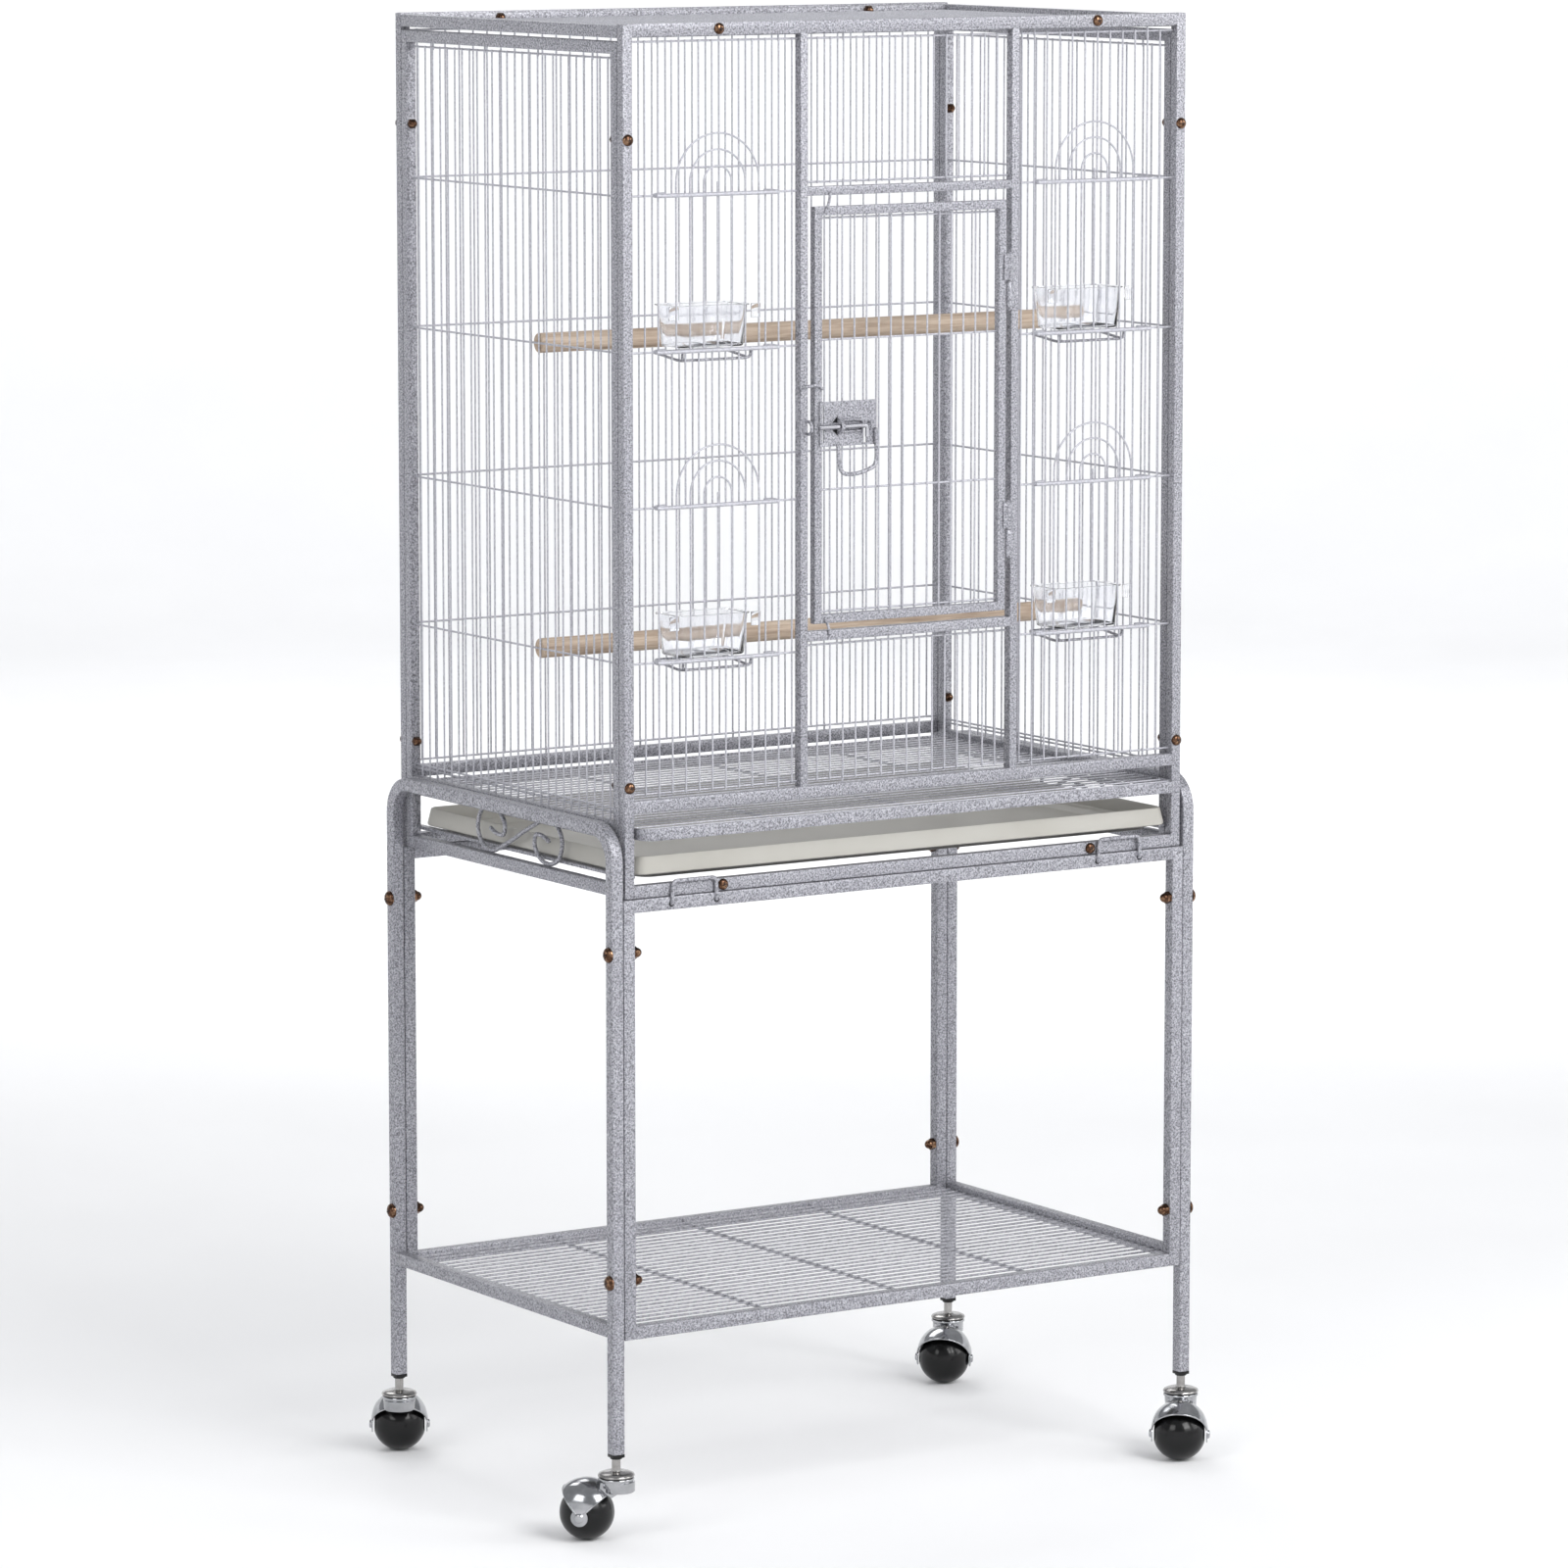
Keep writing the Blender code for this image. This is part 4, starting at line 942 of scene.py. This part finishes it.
# ---- stand
def build_stand():
    half = LEG / 2
    outline = rounded_square(half, half, 0.0015)
    leg_y = LEG_Y - half
    bar_z = LEG_HIGH.z - half
    for side, sign in (("left", -1), ("right", 1)):
        x = sign * (LEG_X - half)
        shape = Shape()
        path = [(x, -leg_y, LEG_LOW.z)]
        for start, centre in ((180, (-leg_y + BEND, bar_z - BEND)),
                              (90, (leg_y - BEND, bar_z - BEND))):
            for i in range(17):
                a = math.radians(start - 90 * i / 16)
                path.append((x, centre[0] + BEND * math.cos(a), centre[1] + BEND * math.sin(a)))
        path.append((x, leg_y, LEG_LOW.z))
        shape.sweep(path, outline, (1, 0, 0))
        shape.bar((x - half, -LEG_Y + LEG - WELD, SIDE_RAIL[0]),
                  (x + half, LEG_Y - LEG + WELD, SIDE_RAIL[1]), edge=0.0014)
        shape.show("stand_leg_tube_" + side, "cage_and_stand", ["stand_legs_" + side])

    outer = LEG_X - LEG - 0.0003
    inner = outer - LEG
    for name, y0 in (("stand_front_frame", -LEG_Y), ("stand_back_frame", LEG_Y - LEG)):
        y1 = y0 + LEG
        shape = Shape()
        for x0, x1 in ((-outer, -inner), (inner, outer)):
            shape.bar((x0, y0, SHELF_RAIL[0]), (x1, y1, STAND_RAIL[1]), edge=0.0012)
        for low, high in (STAND_RAIL, SHELF_RAIL):
            shape.bar((-inner - WELD, y0, low), (inner + WELD, y1, high), edge=0.0012)
        shape.show(name + "_tubes", "cage_and_stand", [name])

    low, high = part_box("shelf_grid")
    shelf = Shape()
    level = (low.z + high.z) / 2
    for y in spread(low.y + 0.0065, high.y - 0.0065, 28):
        shelf.rod([(low.x - 0.001, y, level), (high.x + 0.001, y, level)], 0.0011, SHELF_COAT, 8)
    for x in CROSS_BARS:
        shelf.rod(bent([(x, low.y - 0.0010, level + 0.0012), (x, low.y + 0.006, level - 0.0018),
                        (x, high.y - 0.006, level - 0.0018), (x, high.y + 0.0010, level + 0.0012)],
                       0.004, 4), 0.0016, SHELF_COAT, 10)
    for x in (low.x + 0.0010, high.x - 0.0010):
        shelf.rod([(x, low.y - 0.001, level - 0.0018), (x, high.y + 0.001, level - 0.0018)], 0.0013)
    shelf.show("shelf_wires", "cage_and_stand", ["shelf_grid"])

    turn_in = [(0.0518, 0.0), (0.0400, -0.0040), (0.0285, -0.0030), (0.0272, 0.0080),
               (0.0380, 0.0182), (0.0540, 0.0205), (0.0690, 0.0140), (0.0750, -0.0020),
               (0.0660, -0.0160), (0.0480, -0.0205), (0.0280, -0.0130), (0.0080, -0.0040)]
    controls = turn_in + [(-u, -v) for u, v in reversed(turn_in)]
    for side, sign in (("left", -1), ("right", 1)):
        x = sign * (HALF_W - TUBE / 2)
        scroll = Shape()
        scroll.rod(smooth_line([(x, u - 0.0085, v + 0.6190) for u, v in controls], 8), 0.0020, COAT,
                   14)
        scroll.show("scroll_wire_" + side, "cage_and_stand", ["scroll_" + side])

    for side, sx in (("left", -1), ("right", 1)):
        for end, sy in (("front", -1), ("back", 1)):
            middle = sx * 0.2335
            y = sy * (LEG_Y + 0.0006)
            clip = Shape()
            foot = sy * (LEG_Y - 0.0020)
            clip.rod(bent([(middle - 0.0242, foot, 0.5776), (middle - 0.0240, y, 0.5772),
                           (middle - 0.0228, y, 0.5975), (middle + 0.0228, y, 0.5975),
                           (middle + 0.0232, y, 0.5772), (middle + 0.0236, foot, 0.5776)],
                          0.0050, 6), 0.0019, COAT, 14)
            # painted shade: dark discs on the rail face stand in for the holes that the clip ends go
            # into
            for x in (middle - 0.0242, middle + 0.0236):
                clip.turned([(0.0027, 0.0), (0.0027, 0.0004), (0, 0.0004)], PAINTED_SHADE,
                            facing((x, sy * LEG_Y, 0.5772), (0, sy, 0)), 20)
            clip.show("clip_wire_%s_%s" % (end, side), "cage_and_stand",
                      ["clip_%s_%s" % (end, side)])


# ---- casters
def caster_hood():
    """Domed chrome hood about the axle, which lies at the origin along Y."""
    shape = Shape()
    across, up, thick = 0.0268, 0.0318, 0.0012
    steps, stations = 22, 30
    start, finish = math.radians(42), math.radians(132)

    def arc(a, shrink, gap):
        """A line over the hood from side to side, leaving a gap in degrees at each end."""
        line = []
        for i in range(stations + 1):
            t = math.radians(gap + (180 - 2 * gap) * i / stations)
            r = (up - shrink) * math.sin(t) ** 0.8
            line.append((r * math.cos(a), -(across - shrink) * math.cos(t), r * math.sin(a)))
        return line

    points = []
    count = 2 * (stations + 1)
    for j in range(steps + 1):
        a = start + (finish - start) * j / steps
        points += arc(a, 0.0, 3) + arc(a, thick, 3)[::-1]
    faces = []
    for level in range(steps):
        for i in range(count):
            j = (i + 1) % count
            near, far = level * count, (level + 1) * count
            faces.append([near + i, far + i, far + j, near + j])
    for level in (0, steps):
        base = level * count
        for i in range(stations):
            faces.append([base + i, base + i + 1, base + count - 2 - i, base + count - 1 - i])
    shape.add(points, faces, CHROME)
    # rolled lips along the two open edges
    for a in (start, finish):
        shape.rod(arc(a, thick / 2, 6), 0.0009, CHROME, 10)
    for sign in (-1, 1):
        place = facing((0, sign * 0.0258, 0), (0, sign, 0))
        shape.turned([(0, -0.0004), (0.0079, -0.0004), (0.0081, 0.0001), (0.0079, 0.0006),
                      (0.0046, 0.0008), (0.0042, 0.0012), (0.0038, 0.0024), (0.0026, 0.0030),
                      (0, 0.0031)], CHROME, place, 32)
    shape.turned([(0, 0.0248), (0.0140, 0.0248), (0.0149, 0.0256), (0.0152, 0.0300),
                  (0.0154, 0.0312), (0.0163, 0.0316), (0.0165, 0.0326), (0.0160, 0.0335),
                  (0.0146, 0.0338), (0, 0.0338)], CHROME, Matrix.Translation((TRAIL, 0, 0)), 48)
    shape.turned([(0, 0.0207), (0.0140, 0.0207), (0.0148, 0.0215), (0.0148, 0.0300), (0, 0.0300)],
                 CHROME, Matrix.Translation((TRAIL + 0.0022, 0, 0)), 40)
    outline = [(0.0150, 0.0240), (0.0262, 0.0165), (0.0330, 0.0212), (0.0390, 0.0298),
               (0.0160, 0.0300)]
    neck = 0.0118
    sides = [[(x, y, z) for x, z in outline] for y in (-neck, neck)]
    shape.add(sides[0] + sides[1], capped(2, len(outline)), CHROME)
    return shape


def caster_wheel():
    """Glossy ball wheel with flattened sides, hub recesses and a middle parting line."""
    shape = Shape()
    hub = [(0, 0.0215), (0.0046, 0.0215), (0.0056, 0.0223), (0.0062, 0.0236)]
    profile = [(r, -z) for r, z in hub]
    limit = math.asin(0.0238 / WHEEL)
    for i in range(41):
        a = -limit + 2 * limit * i / 40
        r = WHEEL * math.cos(a) - (0.00025 if i == 20 else 0.0)
        profile.append((r, WHEEL * math.sin(a)))
    profile += hub[::-1]
    shape.turned(profile, BLACK, Matrix.Rotation(math.pi / 2, 4, "X"), 56)
    return shape


def build_casters():
    half = LEG / 2
    for corner, (sx, sy, angle) in CASTERS.items():
        x, y = sx * (LEG_X - half), sy * (LEG_Y - half)
        turn = Matrix.Translation((x, y, 0)) @ Matrix.Rotation(math.radians(angle - 180), 4, "Z")
        axle = turn @ Matrix.Translation((-TRAIL, 0, WHEEL))
        caster_hood().carried(axle).show("caster_fork_" + corner, "caster_" + corner,
                                         ["caster_hood_" + corner], "chrome_plate", 45)
        caster_wheel().carried(axle).show("caster_ball_" + corner, "wheel_" + corner,
                                          ["caster_wheel_" + corner], "black_plastic", 60)
        stem = Shape()
        stem.turned([(0, 0.0591), (0.0120, 0.0591), (0.0156, 0.0593), (0.0166, 0.0600),
                     (0.0168, 0.0608), (0.0160, 0.0622), (0.0136, 0.0634), (0.0120, 0.0638),
                     (0.0062, 0.0640), (0.0044, 0.0646), (0.0040, 0.0656), (0.0040, 0.0772),
                     (0, 0.0772)], STEEL, Matrix.Translation((x, y, 0)), 40)
        stem.show("caster_stem_turned_" + corner, "cage_and_stand", ["caster_stem_" + corner],
                  "dark_steel", 40)
        plug = Shape()
        plug.bar((x - half + 0.0002, y - half + 0.0002, 0.0768),
                 (x + half - 0.0002, y + half - 0.0002, 0.0802), BLACK, 0.0006)
        plug.turned([(0.0052, 0.0756), (0.0056, 0.0760), (0.0056, 0.0774)], BLACK,
                    Matrix.Translation((x, y, 0)), 24)
        plug.show("leg_plug_moulded_" + corner, "cage_and_stand", ["leg_plug_" + corner],
                  "black_plastic")


# ---- room, light and camera
def pale_floor():
    made = Shader("pale_floor")
    cloud = made.noise(1.6, 3.0, 0.5)
    fine = made.noise(140.0, 2.0, 0.5)
    return made.finish(cloud, (0.3, (0.900, 0.900, 0.905)), (0.7, (0.930, 0.930, 0.935)),
                       (0.75, 0.85), fine, 0.0002, 0.1)


def build_room():
    """A floor that sweeps up behind and beside the object, all round."""
    work = bmesh.new()
    rings = []
    flat, curve, top = 6.5, 2.0, 3.2
    profile = [(1.0, 0.0), (2.5, 0.0), (flat, 0.0)]
    for i in range(1, 13):
        a = math.radians(90 * i / 12)
        profile.append((flat + curve * math.sin(a), curve - curve * math.cos(a)))
    profile.append((flat + curve, top))
    sides = 64
    for radius, z in profile:
        rings.append([work.verts.new((radius * math.cos(2 * math.pi * k / sides),
                                      radius * math.sin(2 * math.pi * k / sides), z))
                      for k in range(sides)])
    for near, far in zip(rings, rings[1:]):
        for k in range(sides):
            m = (k + 1) % sides
            work.faces.new((near[k], near[m], far[m], far[k]))
    work.faces.new(rings[0])
    bmesh.ops.recalc_face_normals(work, faces=work.faces)
    mesh = bpy.data.meshes.new("studio_floor")
    work.to_mesh(mesh)
    work.free()
    mesh.materials.append(pale_floor())
    mesh.shade_smooth()
    linked("studio_floor", mesh)


def light(name, place, target, size, power):
    lamp = bpy.data.lights.new(name, "AREA")
    lamp.shape = "RECTANGLE"
    lamp.size, lamp.size_y = size
    lamp.energy = power
    item = linked(name, lamp)
    item.location = place
    item.rotation_euler = (Vector(target) - Vector(place)).to_track_quat("-Z", "Y").to_euler()


def build_light():
    bpy.context.scene.view_settings.view_transform = "Standard"
    world = bpy.data.worlds.new("studio")
    bpy.context.scene.world = world
    world.use_nodes = True
    background = world.node_tree.nodes["Background"].inputs
    background["Color"].default_value = (0.95, 0.97, 1.0, 1)
    background["Strength"].default_value = 0.45
    for name, place, aim, size, power in (
            ("key", (0.6, -4.6, 4.3), 0.7, (2.6, 2.6), 170),
            ("front", (0.8, -5.2, 3.0), 1.4, (3.0, 2.0), 46),
            ("left", (-4.2, -1.6, 3.4), 1.6, (2.2, 2.2), 56),
            ("fill", (3.8, -3.2, 2.8), 0.9, (2.4, 2.4), 58),
            ("back", (0.5, 3.6, 4.2), 0.7, (3.0, 2.0), 60)):
        light(name, place, (0, 0, aim), size, power)
    for turn in (0, 90, 180, 270):
        a = math.radians(turn + 33)
        light("wall_wash_%d" % turn, (3.0 * math.sin(a), 3.0 * math.cos(a), 3.4),
              (8.5 * math.sin(a), 8.5 * math.cos(a), 1.2), (3.0, 1.0), 110)


def build_camera():
    data = bpy.data.cameras.new("camera")
    data.lens = 162.7
    item = linked("camera", data)
    item.location = (-3.5756, -5.5106, 1.5600)
    aim = Vector((-0.0071, 0.0, 0.6424)) - Vector(item.location)
    item.rotation_euler = aim.to_track_quat("-Z", "Y").to_euler()
    bpy.context.scene.camera = item


build_panels()
build_bolts()
build_door()
build_feeders()
build_floor()
build_stand()
build_casters()
build_room()
build_light()
build_camera()

bpy.context.view_layer.update()
